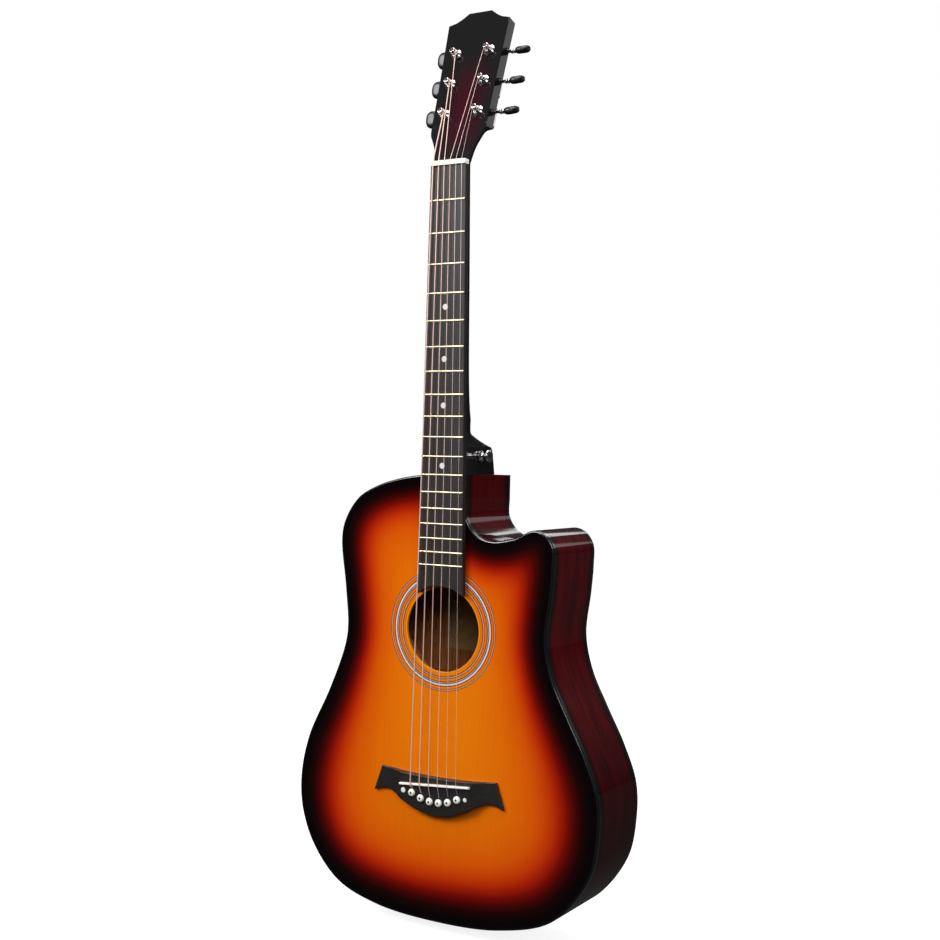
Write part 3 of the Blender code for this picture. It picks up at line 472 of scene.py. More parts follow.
def turned(name, profile, place, segments=40):
    """(radius, height) pairs in millimetres turned round the axis of `place`."""
    if profile[0][0] > 0 and profile[0] != profile[-1]:
        raise ValueError("an open profile starts and ends on the axis")
    bm = bmesh.new()
    rows = []
    for turn in (2 * math.pi * i / segments for i in range(segments)):
        points = [(r * MM * math.cos(turn), r * MM * math.sin(turn), h * MM) for r, h in profile]
        rows.append([bm.verts.new(point) for point in points])
    for first, second in zip(rows, rows[1:] + rows[:1]):
        for i in range(len(profile) - 1):
            bm.faces.new((first[i], first[i + 1], second[i + 1], second[i]))
    bmesh.ops.remove_doubles(bm, verts=bm.verts[:], dist=0.001 * MM)
    bmesh.ops.dissolve_degenerate(bm, edges=bm.edges[:], dist=0.0005 * MM)
    return mesh_object(name, bm, place)


def drill(name, radius, low, high, place, segments=40):
    """A plain cylinder in millimetres, to cut a round hole with."""
    return turned(name, [(0, low), (radius, low), (radius, high), (0, high)], place, segments)


def carve(obj, cutters, operation="DIFFERENCE"):
    """Cuts the other objects away, or joins them on, and removes them."""
    for cutter in cutters:
        modifier = obj.modifiers.new("cut", "BOOLEAN")
        modifier.operation, modifier.object, modifier.solver = operation, cutter, "EXACT"
    result = applied(obj)
    for cutter in cutters:
        bpy.data.objects.remove(cutter)
    return result


def piece(obj, finish, body, slot, *replaced):
    """Gives the object its finish, its body and the solids that it stands for. The slot is not used."""
    weigh = obj.modifiers.new("flat faces stay flat", "WEIGHTED_NORMAL")
    weigh.keep_sharp, weigh.weight = True, 100
    bpy.context.view_layer.update()
    even = bpy.data.meshes.new_from_object(obj.evaluated_get(bpy.context.evaluated_depsgraph_get()))
    obj.modifiers.clear()
    obj.data = even
    obj.data.materials.clear()
    obj.data.materials.append(finish.material)
    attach(obj, body)
    if replaced:
        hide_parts(*replaced)
    print(f"{obj.name}: {len(obj.data.polygons)} faces, rides on {body}")
    return obj


def inner_faces(obj, finish, chosen):
    """Faces that a test picks get a second finish, as bare wood inside lacquered wood."""
    obj.data.materials.append(finish.material)
    for face in obj.data.polygons:
        if chosen(face):
            face.material_index = 1


def corner_power(angle, power):
    """(cosine, sine) of a corner that is squarer than a circle's, for a power below 1."""
    return tuple(math.copysign(abs(f(angle)) ** power, f(angle)) for f in (math.cos, math.sin))


# Two places for shapes drawn on the soundboard: both take their height toward -Y, out of the front.
FRONT = Matrix(((1, 0, 0, 0), (0, 0, -1, 0), (0, 1, 0, 0), (0, 0, 0, 1)))
OUT_OF_FRONT = Matrix.Rotation(math.pi / 2, 4, "X")
print("mesh helpers are ready")

# %% [markdown]
# The body's outline is the guitar's most telling line: square at the neck, a deep rounded cutaway with a
# horn, a soft waist and a full lower bout. The soundboard, ribs, bindings and back all follow it, so it
# is drawn once through a few points and sampled finely.

# %% The body's outline
NECK_JOINT_Z = -321.3
CUTAWAY = [(25.8, NECK_JOINT_Z), (25.8, -346), (26.2, -366), (37.5, -381.5), (56, -388), (83, -384),
           (105.2, -374.8), (119, -379), (128, -391.5)]
TREBLE_BOUT = [(128.8, -413), (126.5, -443), (121.9, -486), (130, -522.9), (148.8, -560.7),
               (168.6, -597.7), (182.8, -634.8), (184.3, -672), (175, -716), (135, -765.2), (73, -785.8)]
BASS_BOUT = [(-5, -791), (-78, -785.6), (-128.8, -768.8), (-162.5, -734.6), (-178.8, -697),
             (-181.6, -660), (-172, -615.5), (-144.7, -559.5), (-125.7, -511.6), (-122, -489),
             (-125.8, -446), (-132.2, -394)]
BASS_SHOULDER = [(-127.8, -373), (-110.7, -348.5), (-87.4, -335.5), (-60, -327), (-31.4, -322.3),
                 (-14, NECK_JOINT_Z)]


def evenly(line, count):
    """The line's points spread evenly, but closer where it bends."""
    step = np.diff(line, axis=0)
    length = np.linalg.norm(step, axis=1)
    bend = np.abs(np.diff(np.unwrap(np.arctan2(step[:, 1], step[:, 0])), append=0))
    bend[-1] = 0
    weight = np.concatenate([[0], np.cumsum(length / length.sum() + 0.5 * bend / bend.sum())])
    at = np.linspace(0, weight[-1], count)
    return np.stack([np.interp(at, weight, line[:, k]) for k in (0, 1)], axis=1)


def moved_in(outline, distance):
    """The closed outline moved inwards by a distance."""
    normals = []
    for side in (outline - np.roll(outline, 1, axis=0), np.roll(outline, -1, axis=0) - outline):
        normals.append(np.stack([side[:, 1], -side[:, 0]], axis=1) / np.linalg.norm(side, axis=1)[:, None])
    middle = normals[0] + normals[1]
    return outline + distance * middle * (2 / (middle ** 2).sum(axis=1))[:, None]


outline = evenly(through(np.array(CUTAWAY + TREBLE_BOUT + BASS_BOUT + BASS_SHOULDER) * MM, 24), 420)
body_width = outline[:, 0].max() - outline[:, 0].min()
print("outline:", len(outline), "points, width", round(body_width / MM, 1), "mm")

# %% [markdown]
# The soundboard is a flat plate with a round hole. A plain filled outline has no points inside it to
# carry the spray's `burst` number, so planes cut it into a grid of small faces first. The number is the
# depth inside the outline; the spray is narrower round the upper bout than round the lower one.

# %% Soundboard and back
PLATE = 3 * MM
BINDING_WIDTH, BINDING_HEIGHT, GAP = 2.2 * MM, 6 * MM, 0.3 * MM
# The spray is wide below this height and reaches its narrow width this much further up.
WIDE_SPRAY_Z, SPRAY_RISE = -635 * MM, 110 * MM
EDGE_BITS = 1500
STRINGS = 6
PIN_SPACING = 11.1 * MM
PIN_X = [(i - 2.5) * PIN_SPACING for i in range(STRINGS)]
PIN_Z = [z * MM for z in (-656, -660.4, -662.5, -662.5, -660.4, -656)]


def circle(radius, x=0.0, z=0.0, count=96):
    turns = np.arange(count) * 2 * np.pi / count
    return np.stack([x + radius * np.cos(turns), z + radius * np.sin(turns)], axis=1)


def gridded(obj, step):
    """Cuts the plate along evenly spaced planes, so that it has points all over."""
    points = np.array([vertex.co for vertex in obj.data.vertices])
    bm = bmesh.new()
    bm.from_mesh(obj.data)
    for axis, normal in ((0, (1, 0, 0)), (2, (0, 0, 1))):
        for at in np.arange(points[:, axis].min() + step, points[:, axis].max(), step):
            everything = bm.verts[:] + bm.edges[:] + bm.faces[:]
            bmesh.ops.bisect_plane(bm, geom=everything, plane_co=Vector(normal) * at, plane_no=normal)
    name = obj.name
    bpy.data.objects.remove(obj)
    return mesh_object(name, bm)


def store_burst(obj, narrow):
    """Writes how deep each point lies, as a share of the spray's reach.

    Every bit of the edge counts, by the inverse fourth power of its distance. Beside one straight edge
    that gives the distance itself, and in a horn or a corner it gives less.
    """
    loop = evenly(np.vstack([outline, outline[:1]]), EDGE_BITS)
    lengths = np.linalg.norm(np.diff(loop, axis=0), axis=1)
    middles = (loop[1:] + loop[:-1]) / 2
    points = np.array([(v.co.x, v.co.z) for v in obj.data.vertices])
    apart = ((points[:, None] - middles) ** 2).sum(axis=2)
    depth = ((lengths / apart ** 2).sum(axis=1) * 2 / math.pi) ** (-1 / 3)
    rise = np.clip((points[:, 1] - WIDE_SPRAY_Z) / SPRAY_RISE, 0, 1)
    value = depth / (1 - (1 - narrow) * rise) / BURST_REACH
    attribute = obj.data.attributes.new("burst", "FLOAT", "POINT")
    attribute.data.foreach_set("value", value.astype(np.float32))


plate_edge = moved_in(outline, BINDING_WIDTH)
holes = [circle(SOUNDHOLE_RADIUS, 0, SOUNDHOLE_Z)[::-1]]
holes += [circle(3.2 * MM, x, z, 16) for x, z in zip(PIN_X, PIN_Z)]
soundboard = gridded(slab("top", [plate_edge, *holes], -TOP_Y - PLATE, -TOP_Y, FRONT), 7 * MM)
store_burst(soundboard, 0.78)
piece(soundboard, top_finish, "guitar", "sunburst_top", "soundboard")
inner_faces(soundboard, inner_finish, lambda face: face.normal.y > 0.5)

back = gridded(slab("back", [plate_edge], -BACK_Y, -BACK_Y + PLATE, FRONT), 9 * MM)
store_burst(back, 0.9)
piece(back, back_finish, "guitar", "wine_lacquer", "back_plate")
inner_faces(back, inner_finish, lambda face: face.normal.y < -0.5)

# %% [markdown]
# The ribs are one thin band bent round the outline. The bindings are black strips let into both edges
# and rounded over, and their crowns catch the light as one long line. Each is a skin whose section is
# carried round the outline.

# %% Ribs and bindings
def band(name, profile):
    """A closed section of (inset, y) pairs carried round the outline."""
    loops = [np.insert(moved_in(outline, inset), 1, y, axis=1) for inset, y in profile]
    return skin(name, np.stack(loops, axis=1), closed=True, sharp=math.radians(40))


MIDDLE_Y = (TOP_Y + BACK_Y) / 2
SEAM = 0.05 * MM  # between the ribs and the bindings
ROD_Y = 15.5 * MM

front, behind = TOP_Y + BINDING_HEIGHT + SEAM, BACK_Y - BINDING_HEIGHT - SEAM
outer_side = [(0, y) for y in np.linspace(front, behind, 9)]
ribs = band("ribs", outer_side + [(BINDING_WIDTH, behind), (BINDING_WIDTH, front)])
hole_in_tail = drill("hole_in_tail", 4, -30, 30, Matrix.Translation((0, MIDDLE_Y, -790 * MM)))
hole_for_rod = drill("hole_for_rod", 3.6, -40, 5, Matrix.Translation((0, ROD_Y, NECK_JOINT_Z * MM)))
ribs = carve(ribs, [hole_in_tail, hole_for_rod])
piece(ribs, rib_finish, "guitar", "wine_lacquer", "sides")


def on_inner_side(face):
    """Whether a face of the ribs lies on the inner surface of the band."""
    at = np.array((face.center.x, face.center.z))
    along = np.roll(outline, -1, axis=0) - outline
    t = np.clip(((at - outline) * along).sum(axis=1) / (along ** 2).sum(axis=1), 0, 1)
    return np.linalg.norm(outline + t[:, None] * along - at, axis=1).min() > BINDING_WIDTH * 0.6


inner_faces(ribs, inner_finish, on_inner_side)

ROUNDING, BINDING_INSIDE = 1.9 * MM, BINDING_WIDTH - 0.02 * MM
quarter = [(ROUNDING * (1 - np.cos(t)), ROUNDING * (1 - np.sin(t))) for t in np.linspace(0, np.pi / 2, 8)]
section = [(0, BINDING_HEIGHT), *quarter, (BINDING_INSIDE, 0), (BINDING_INSIDE, BINDING_HEIGHT)]
for name, face_y, inward in (("top_binding", TOP_Y, 1), ("back_binding", BACK_Y, -1)):
    strip = band(name + "_strip", [(inset, face_y + inward * depth) for inset, depth in section])
    piece(strip, binding_finish, "guitar", "black_binding", name)

# %% [markdown]
# The neck is one carved piece: a slim D-section shaft, a heel that narrows to a wedge against the body,
# and a headstock that leans back. The shaft and heel are a skin over sections whose shape changes along
# Z. The headstock is a rounded slab in its own leaning frame, joined on with a Boolean.

# %% Neck, heel and headstock
FRETS = 18
NUT_HALF, LAST_FRET_HALF, SCALE = 21.2 * MM, 27.2 * MM, 643 * MM
NECK_FACE_Y = 7.8 * MM
HEAD_FOOT_Z = 5.3  # millimetres, where the headstock starts to lean back
# How far back the neck and its heel reach: (z, y) in millimetres.
NECK_BACK = [(HEAD_FOOT_Z, 22.4), (0, 22.0), (-110, 23.6), (-215, 25.2), (-240, 28), (-256, 32),
             (-268, 37.5), (-276, 44), (-281, 51), (-285, 59), (-288, 67), (-290.5, 75), (-292.5, 81.5),
             (-300, 84.5), (-321, 89)]
HEEL_START, HEEL_FULL, HEEL_CAP_HALF = -262 * MM, -290 * MM, 12.5 * MM
HEAD_THICKNESS, HEAD_EDGE = 14 * MM, 0.6 * MM
# In the headstock's own plane, in millimetres: (half width, distance up from its foot).
HEAD_SIDE = [(33.8, 40.5), (34.3, 70), (35.2, 100), (37.5, 165.5)]
HEAD_CROWN = [(28, 168), (21.5, 171.8), (14, 177.5)]
# The root's sections: (distance up, half width, squareness of the back, where 2 is round).
HEAD_ROOT = [(0, 22.0, 2), (10, 23.6, 2), (17, 25.4, 2), (25, 29, 2), (32, 32.6, 2), (36, 33.5, 2.7),
             (38.5, 33.7, 4.5), (41.5, 33.8, 16)]

out_of_face = Vector(JOINTS["post_1_turn"]["axis"]).normalized()
up_head = out_of_face.cross(Vector((1, 0, 0)))
head_axes = Matrix((Vector((1, 0, 0)), up_head, out_of_face)).transposed().to_4x4()
HEAD = Matrix.Translation((0, NECK_FACE_Y, HEAD_FOOT_Z * MM)) @ head_axes


def fret_z(number):
    return -SCALE * (1 - 2 ** (-number / 12))


def neck_half(z):
    return NUT_HALF + (LAST_FRET_HALF - NUT_HALF) * z / fret_z(FRETS)


def neck_section(z, back_y, levels=15):
    """Half round on the shaft, turning into a narrow wedge at the heel."""
    heel = min(max((HEEL_START - z) / (HEEL_START - HEEL_FULL), 0), 1)
    heel = heel * heel * (3 - 2 * heel) * 0.5 + heel * 0.5
    width, side = neck_half(min(z, 0)), []
    for t in np.linspace(0, 1, levels):
        depth = math.sin(t * math.pi / 2) * (1 - heel) + t * heel
        wedge = HEEL_CAP_HALF + (width - HEEL_CAP_HALF) * (1 - t) ** 2.2
        half = math.cos(t * math.pi / 2) * width * (1 - heel) + wedge * heel
        side.append((max(half, 1.5 * MM), NECK_FACE_Y + depth * (back_y - NECK_FACE_Y)))
    return [(x, y, z) for x, y in side] + [(-x, y, z) for x, y in reversed(side)]


def root_section(v, half, squareness, levels=14):
    """Across the headstock's root: flat in front with eased corners, and a rounded back."""
    points = []
    for t in np.linspace(0, np.pi, 2 * levels + 1):
        across = math.copysign(abs(math.cos(t)) ** (2 / squareness), math.cos(t))
        depth = max(math.sin(t), 0) ** (2 / squareness)
        back = -HEAD_EDGE - (HEAD_THICKNESS - HEAD_EDGE) * depth
        points.append((half * across * MM, v * MM, back))
    corner = half * MM - HEAD_EDGE
    return points + [(-corner, v * MM, -0.02 * MM), (corner, v * MM, -0.02 * MM)]


shaft_line = through(np.array(NECK_BACK), 5)
shaft = skin("neck_shaft", [neck_section(z * MM, y * MM) for z, y in shaft_line], sharp=math.radians(50))
root_rows = np.array(HEAD_ROOT)
smooth_sides = through(root_rows[:, :2], 12)
root_sections = []
for v in np.concatenate([np.linspace(0, 36, 19), [37, 38, 38.5, 39.2, 40, 40.8, 41.5]]):
    half = np.interp(v, smooth_sides[:, 0], smooth_sides[:, 1])
    root_sections.append(root_section(v, half, np.interp(v, root_rows[:, 0], root_rows[:, 2])))
root = skin("head_root", root_sections, place=HEAD, sharp=math.radians(50))
half_outline = np.vstack([through(HEAD_SIDE, 8), through(HEAD_CROWN, 6)])
head_outline = np.vstack([half_outline, half_outline[::-1] * (-1, 1)]) * MM
head = slab("head_slab", [head_outline], -HEAD_THICKNESS, 0, HEAD, edge=0.7 * MM)
neck = carve(shaft, [root, head], "UNION")

POST_X = abs(JOINTS["post_1_turn"]["pos_m"][0])
POSTS = {n: HEAD.inverted() @ Vector(JOINTS[f"post_{n}_turn"]["pos_m"]) for n in range(1, STRINGS + 1)}
SIDE = {n: -1 if n <= STRINGS / 2 else 1 for n in POSTS}  # -1 is the bass side, 1 the treble side
post_holes = [drill(f"post_hole_{n}", 4.9, -25, 5, HEAD @ Matrix.Translation(at)) for n, at in POSTS.items()]
neck = carve(neck, post_holes)
neck.name = "neck_and_head"
piece(neck, neck_finish, "guitar", "black_lacquer", "neck")

# %% [markdown]
# The fingerboard is rosewood, widening from the nut, with its end hollowed to follow the soundhole. It
# is one flat outline with an arc at its end, given thickness.

# %% Fingerboard
BOARD_FRONT, BOARD_BACK = 1.0 * MM, 7.5 * MM
BOARD_CORNER_Z = -446 * MM
board_end = SOUNDHOLE_RADIUS + 2 * MM
corner = math.acos(neck_half(BOARD_CORNER_Z) / board_end)
arc = [(board_end * math.cos(a), SOUNDHOLE_Z + board_end * math.sin(a))
       for a in np.linspace(corner, math.pi - corner, 33)]
board_outline = [(NUT_HALF, -GAP), *arc, (-NUT_HALF, -GAP)]
board = slab("board", [board_outline], -BOARD_BACK, -BOARD_FRONT, FRONT, edge=0.35 * MM)
piece(board, board_finish, "guitar", "fingerboard_wood", "fingerboard")

# %% [markdown]
# Eighteen metal frets lie across the board, each a half-round crown, shorter toward the nut. They repeat
# by a rule, so Geometry Nodes make them: a point for each fret, the same short crown placed on it, and
# stretched across by the board's width at that place. The round pearl markers are made by a second tree
# on four points.

# %% Frets and markers by Geometry Nodes
def placed_copies(name, shape, points, finish):
    """Copies of a shape on (point, stretch) pairs, as one plain mesh."""
    mesh = bpy.data.meshes.new(name)
    mesh.from_pydata([point for point, _ in points], [], [])
    mesh.attributes.new("stretch", "FLOAT_VECTOR", "POINT").data.foreach_set(
        "vector", [value for _, stretch in points for value in stretch])
    carrier = bpy.data.objects.new(name, mesh)
    bpy.context.scene.collection.objects.link(carrier)
    tree = bpy.data.node_groups.new(name, "GeometryNodeTree")
    for socket, kind in (("Geometry", "NodeSocketGeometry"), ("Shape", "NodeSocketObject"),
                         ("Finish", "NodeSocketMaterial")):
        tree.interface.new_socket(socket, in_out="INPUT", socket_type=kind)
    tree.interface.new_socket("Geometry", in_out="OUTPUT", socket_type="NodeSocketGeometry")
    inside, outside = tree.nodes.new("NodeGroupInput"), tree.nodes.new("NodeGroupOutput")
    to_points = tree.nodes.new("GeometryNodeMeshToPoints")
    info = tree.nodes.new("GeometryNodeObjectInfo")
    stretch = tree.nodes.new("GeometryNodeInputNamedAttribute")
    stretch.data_type = "FLOAT_VECTOR"
    stretch.inputs["Name"].default_value = "stretch"
    copies = tree.nodes.new("GeometryNodeInstanceOnPoints")
    real = tree.nodes.new("GeometryNodeRealizeInstances")
    paint = tree.nodes.new("GeometryNodeSetMaterial")
    for source, target in (
            (inside.outputs["Geometry"], to_points.inputs["Mesh"]),
            (inside.outputs["Shape"], info.inputs["Object"]),
            (to_points.outputs["Points"], copies.inputs["Points"]),
            (info.outputs["Geometry"], copies.inputs["Instance"]),
            (stretch.outputs["Attribute"], copies.inputs["Scale"]),
            (copies.outputs["Instances"], real.inputs["Geometry"]),
            (real.outputs["Geometry"], paint.inputs["Geometry"]),
            (inside.outputs["Finish"], paint.inputs["Material"]),
            (paint.outputs["Geometry"], outside.inputs["Geometry"])):
        tree.links.new(source, target)
    modifier = carrier.modifiers.new(name, "NODES")
    modifier.node_group = tree
    names = {item.name: item.identifier for item in tree.interface.items_tree if item.in_out == "INPUT"}
    modifier[names["Shape"]], modifier[names["Finish"]] = shape, finish.material
    bpy.context.view_layer.update()
    made = bpy.data.meshes.new_from_object(carrier.evaluated_get(bpy.context.evaluated_depsgraph_get()))
    bpy.data.objects.remove(carrier)
    bpy.data.objects.remove(shape)
    made.name = name
    made.shade_smooth()
    made.set_sharp_from_angle(angle=math.radians(40))
    obj = bpy.data.objects.new(name, made)
    bpy.context.scene.collection.objects.link(obj)
    return obj


CROWN_HALF, CROWN_HEIGHT, TANG_HALF, TANG_DEPTH = 1.1 * MM, 1.0 * MM, 0.3 * MM, 1.5 * MM
crown_arc = [(math.cos(t) * CROWN_HALF, -math.sin(t) * CROWN_HEIGHT) for t in np.linspace(0, np.pi, 11)]
crown_arc += [(-TANG_HALF, TANG_DEPTH), (TANG_HALF, TANG_DEPTH)]
# Along a fret of half length 1, the section shrinks at both ends.
crown_ends = [(-1, 0.55), (-0.985, 0.9), (-0.96, 1), (0.96, 1), (0.985, 0.9), (1, 0.55)]
fret_shape = skin("fret_shape", [[(x, BOARD_FRONT + y * size, z * size) for z, y in crown_arc]
                                 for x, size in crown_ends])
fret_points = [((0, 0, fret_z(n)), (neck_half(fret_z(n)) - 0.4 * MM, 1, 1)) for n in range(1, FRETS + 1)]
frets = placed_copies("frets", fret_shape, fret_points, fret_finish)
piece(frets, fret_finish, "guitar", "fingerboard_wood")

MARKED_FRETS, DOT_RADIUS = (5, 7, 9, 12), 3.1
dot_shape = turned("dot_shape", [(0, 0.05), (0.9, 0.04), (1, 0), (1, -0.8), (0, -0.8)], OUT_OF_FRONT)
dot_points = [((0, BOARD_FRONT, (fret_z(n) + fret_z(n - 1)) / 2), (DOT_RADIUS, 1, DOT_RADIUS))
              for n in MARKED_FRETS]
dots = placed_copies("position_dots", dot_shape, dot_points, pearl_finish)
piece(dots, pearl_finish, "guitar", "white_plastic")

# %% [markdown]
# The nut is a small ivory bar with a slot for each string. It is a flat outline whose upper edge dips into
# a round-bottomed slot six times, and the thick strings get the wider slots.

# %% Nut
STRING_RADII = [0.66, 0.53, 0.41, 0.30, 0.20, 0.15]  # millimetres, bass to treble
NUT_X = [(number - 2.5) * 7.0 * MM for number in range(STRINGS)]
NUT_LENGTH, STRING_AT_NUT_Y = 5 * MM, -0.9 * MM
NUT_TOP_Y, NUT_SHOULDER_Y = -1.4 * MM, -0.6 * MM

nut_outline = [(-NUT_HALF, NECK_FACE_Y - GAP), (NUT_HALF, NECK_FACE_Y - GAP), (NUT_HALF, NUT_SHOULDER_Y)]
for x, radius in reversed(list(zip(NUT_X, STRING_RADII))):
    half = radius * MM + GAP
    bottom = [(x + half * math.cos(t), STRING_AT_NUT_Y + half * math.sin(t))
              for t in np.linspace(0.3, math.pi - 0.3, 7)]
    nut_outline += [(x + half, NUT_TOP_Y), (x + half, STRING_AT_NUT_Y), *bottom,
                    (x - half, STRING_AT_NUT_Y), (x - half, NUT_TOP_Y)]
nut_outline += [(-NUT_HALF, NUT_SHOULDER_Y)]
nut = slab("nut_bar", [nut_outline], 0, NUT_LENGTH, Matrix.Identity(4), edge=0.12 * MM, steps=2)
piece(nut, ivory_finish, "guitar", "white_plastic", "nut")

# %% [markdown]
# The bridge is a black wooden bar with swept wings. Its raised middle holds six pins in a shallow arc and
# the saddle, an ivory bar set a little slantwise so that the thick strings are a bit longer. The wings
# fall away to thin tips. The outline is filled and rounded, then its points are lowered toward the tips.
# Pins are turned, each with a dark dot in its head.

# %% Bridge
BRIDGE_TOP_Y = -0.7 * MM
bridge_top_line = through([(-70, -634), (-35, -636.7), (0, -637.6), (35, -636.7), (70, -634)], 8)
half_bottom = [(79.5, -661), (71, -657.9), (62, -657), (51, -660.5), (39, -666.8), (20, -674.3)]
bridge_bottom_line = through(half_bottom + [(0, -677)] + [(-x, z) for x, z in reversed(half_bottom)], 8)
bridge_outline = np.vstack([bridge_top_line, bridge_bottom_line]) * MM
bridge = slab("bridge_body", [bridge_outline], -TOP_Y + GAP, -BRIDGE_TOP_Y, FRONT, edge=0.8 * MM)
bridge = gridded(bridge, 4 * MM)
WING_START, WING_LENGTH, BRIDGE_FOOT_Y = 44 * MM, 34 * MM, TOP_Y - GAP
for vertex in bridge.data.vertices:
    out = min(max((abs(vertex.co.x) - WING_START) / WING_LENGTH, 0), 1)
    thinner = 0.52 * min(out * 2.2, 1) ** 0.8 + 0.08 * out
    vertex.co.y = BRIDGE_FOOT_Y - (BRIDGE_FOOT_Y - vertex.co.y) * (1 - thinner)

SADDLE_Z, SADDLE_ACROSS, SADDLE_DROP = -644.8 * MM, 85 * MM, 6.4 * MM
SADDLE_HALF = math.hypot(SADDLE_ACROSS, SADDLE_DROP) / 2
SADDLE_TOP_Y, SADDLE_FOOT_Y = -4.2 * MM, 4.5 * MM
saddle_turn = Matrix.Rotation(-math.atan2(SADDLE_DROP, SADDLE_ACROSS), 4, "Y")
saddle_at = Matrix.Translation((0, 0, SADDLE_Z)) @ saddle_turn


def bar(name, half_length, half_width, low_y, high_y, place, edge):
    """A straight bar along X with rounded edges, between two values of y."""
    corners = [(x * half_length, z * half_width) for x, z in ((-1, -1), (1, -1), (1, 1), (-1, 1))]
    return slab(name, [corners], -high_y, -low_y, place @ FRONT, edge=edge)


slot = bar("saddle_slot", SADDLE_HALF + 0.15 * MM, 1.2 * MM, -6 * MM, 4.8 * MM, saddle_at, 0)
pin_bores = [drill(f"pin_bore_{n}", 2.9, -20, 5, Matrix.Translation((x, 0, z)) @ OUT_OF_FRONT)
             for n, (x, z) in enumerate(zip(PIN_X, PIN_Z), 1)]
bridge = carve(bridge, [slot, *pin_bores])
piece(bridge, bridge_finish, "guitar", "bridge_wood", "bridge")

saddle = bar("saddle_bar", SADDLE_HALF, 1.05 * MM, SADDLE_TOP_Y, SADDLE_FOOT_Y, saddle_at, 0.5 * MM)
piece(saddle, ivory_finish, "guitar", "white_plastic", "saddle")

PIN_PROFILE = [(0, 2.9), (1.7, 2.82), (2.8, 2.5), (3.6, 1.9), (4.0, 1.0), (4.0, 0.35), (3.7, 0), (2.5, 0),
               (2.1, -22), (0, -22)]
for n, (x, z) in enumerate(zip(PIN_X, PIN_Z), 1):
    place = Matrix.Translation((x, BRIDGE_TOP_Y - GAP, z)) @ OUT_OF_FRONT
    pin = turned(f"pin_{n}", PIN_PROFILE, place, 28)
    piece(pin, ivory_finish, "guitar", "white_plastic", f"bridge_pin_{n}")
    dot = turned(f"pin_dot_{n}", [(0, 3.02), (1.1, 2.98), (1.3, 2.8), (1.3, 2.2), (0, 2.2)], place, 20)
    piece(dot, dark_finish, "guitar", "white_plastic")
for n, (x, size) in enumerate(((-39.1, 3.0), (36.7, 2.4)), 1):
    place = Matrix.Translation((x * MM, BRIDGE_TOP_Y, -655 * MM)) @ OUT_OF_FRONT
    dot_profile = [(0, 0.25), (size - 0.5, 0.15), (size, -0.1), (size, -1.5), (0, -1.5)]
    dot = turned(f"bridge_dot_{n}", dot_profile, place, 28)
    piece(dot, pearl_finish, "guitar", "white_plastic")

# %% [markdown]
# Each tuning machine is a worm and gear under a pressed cover. Turning the key turns the worm, and the
# worm turns the post with its string. So the key, the post and the fixed parts are separate pieces that
# ride on separate bodies. The worm is a skin whose radius rises where its thread passes.

# %% Tuning keys
WORM_PITCH, GEAR_TEETH = 2.6 * MM, 14
GEAR_RADIUS = GEAR_TEETH * WORM_PITCH / (2 * math.pi)
WORM_RADIUS, ADDENDUM, DEDENDUM = 2.6 * MM, 0.7 * MM, 1.0 * MM
WORM_OFFSET = GEAR_RADIUS + WORM_RADIUS
WORM_HALF, WORM_W, SHAFT_RADIUS = 3.3 * MM, -19.5 * MM, 1.6 * MM
BEADS = [15.5 * MM, 18.5 * MM, 21.5 * MM]
BUTTON_X, BUTTON_LONG, BUTTON_TALL, BUTTON_THICK = 49 * MM, 7.5 * MM, 9.5 * MM, 4.5 * MM
# How far each side's buttons are turned about their shafts at rest: bass (-1) and treble (1).
BUTTON_TURN = {-1: math.radians(12), 1: math.radians(-55)}


def worm_radius(side, along, angle):
    """The worm's radius at a place along it and an angle round it: high where the thread passes."""
    crest = WORM_PITCH / 2 + WORM_PITCH * (angle - math.pi) / (2 * math.pi)
    turn = (side * along - crest) / WORM_PITCH
    rise = min(max((0.24 - abs(turn - round(turn))) / 0.14, 0), 1)
    return WORM_RADIUS - DEDENDUM + rise * (ADDENDUM + DEDENDUM)


def shaft_radius(along):
    """The key's shaft beyond the worm: plain, with three beads and a thicker end."""
    for at in BEADS:
        reach = abs(along - at) / (1.35 * MM)
        if reach < 1:
            return SHAFT_RADIUS + 1.15 * MM * math.sqrt(1 - reach ** 2)
    return SHAFT_RADIUS + 0.9 * MM * min(max((along - 24 * MM) / (3 * MM), 0), 1)


def key_shaft(n, side, axis_v):
    """The worm, with the beaded shaft that leads out to the button."""
    sections = []
    for along in [-6 * MM, *np.linspace(-3.25 * MM, 3.25 * MM, 41), *np.linspace(3.6 * MM, 28 * MM, 62)]:
        ring = []
        for angle in np.arange(20) * math.pi / 10:
            radius = worm_radius(side, along, angle) if abs(along) <= WORM_HALF else shaft_radius(along)
            ring.append((side * (POST_X + along), axis_v + radius * math.cos(angle),
                         WORM_W + radius * math.sin(angle)))
        sections.append(ring)
    return skin(f"key_shaft_{n}", sections, place=HEAD, sharp=math.radians(50))


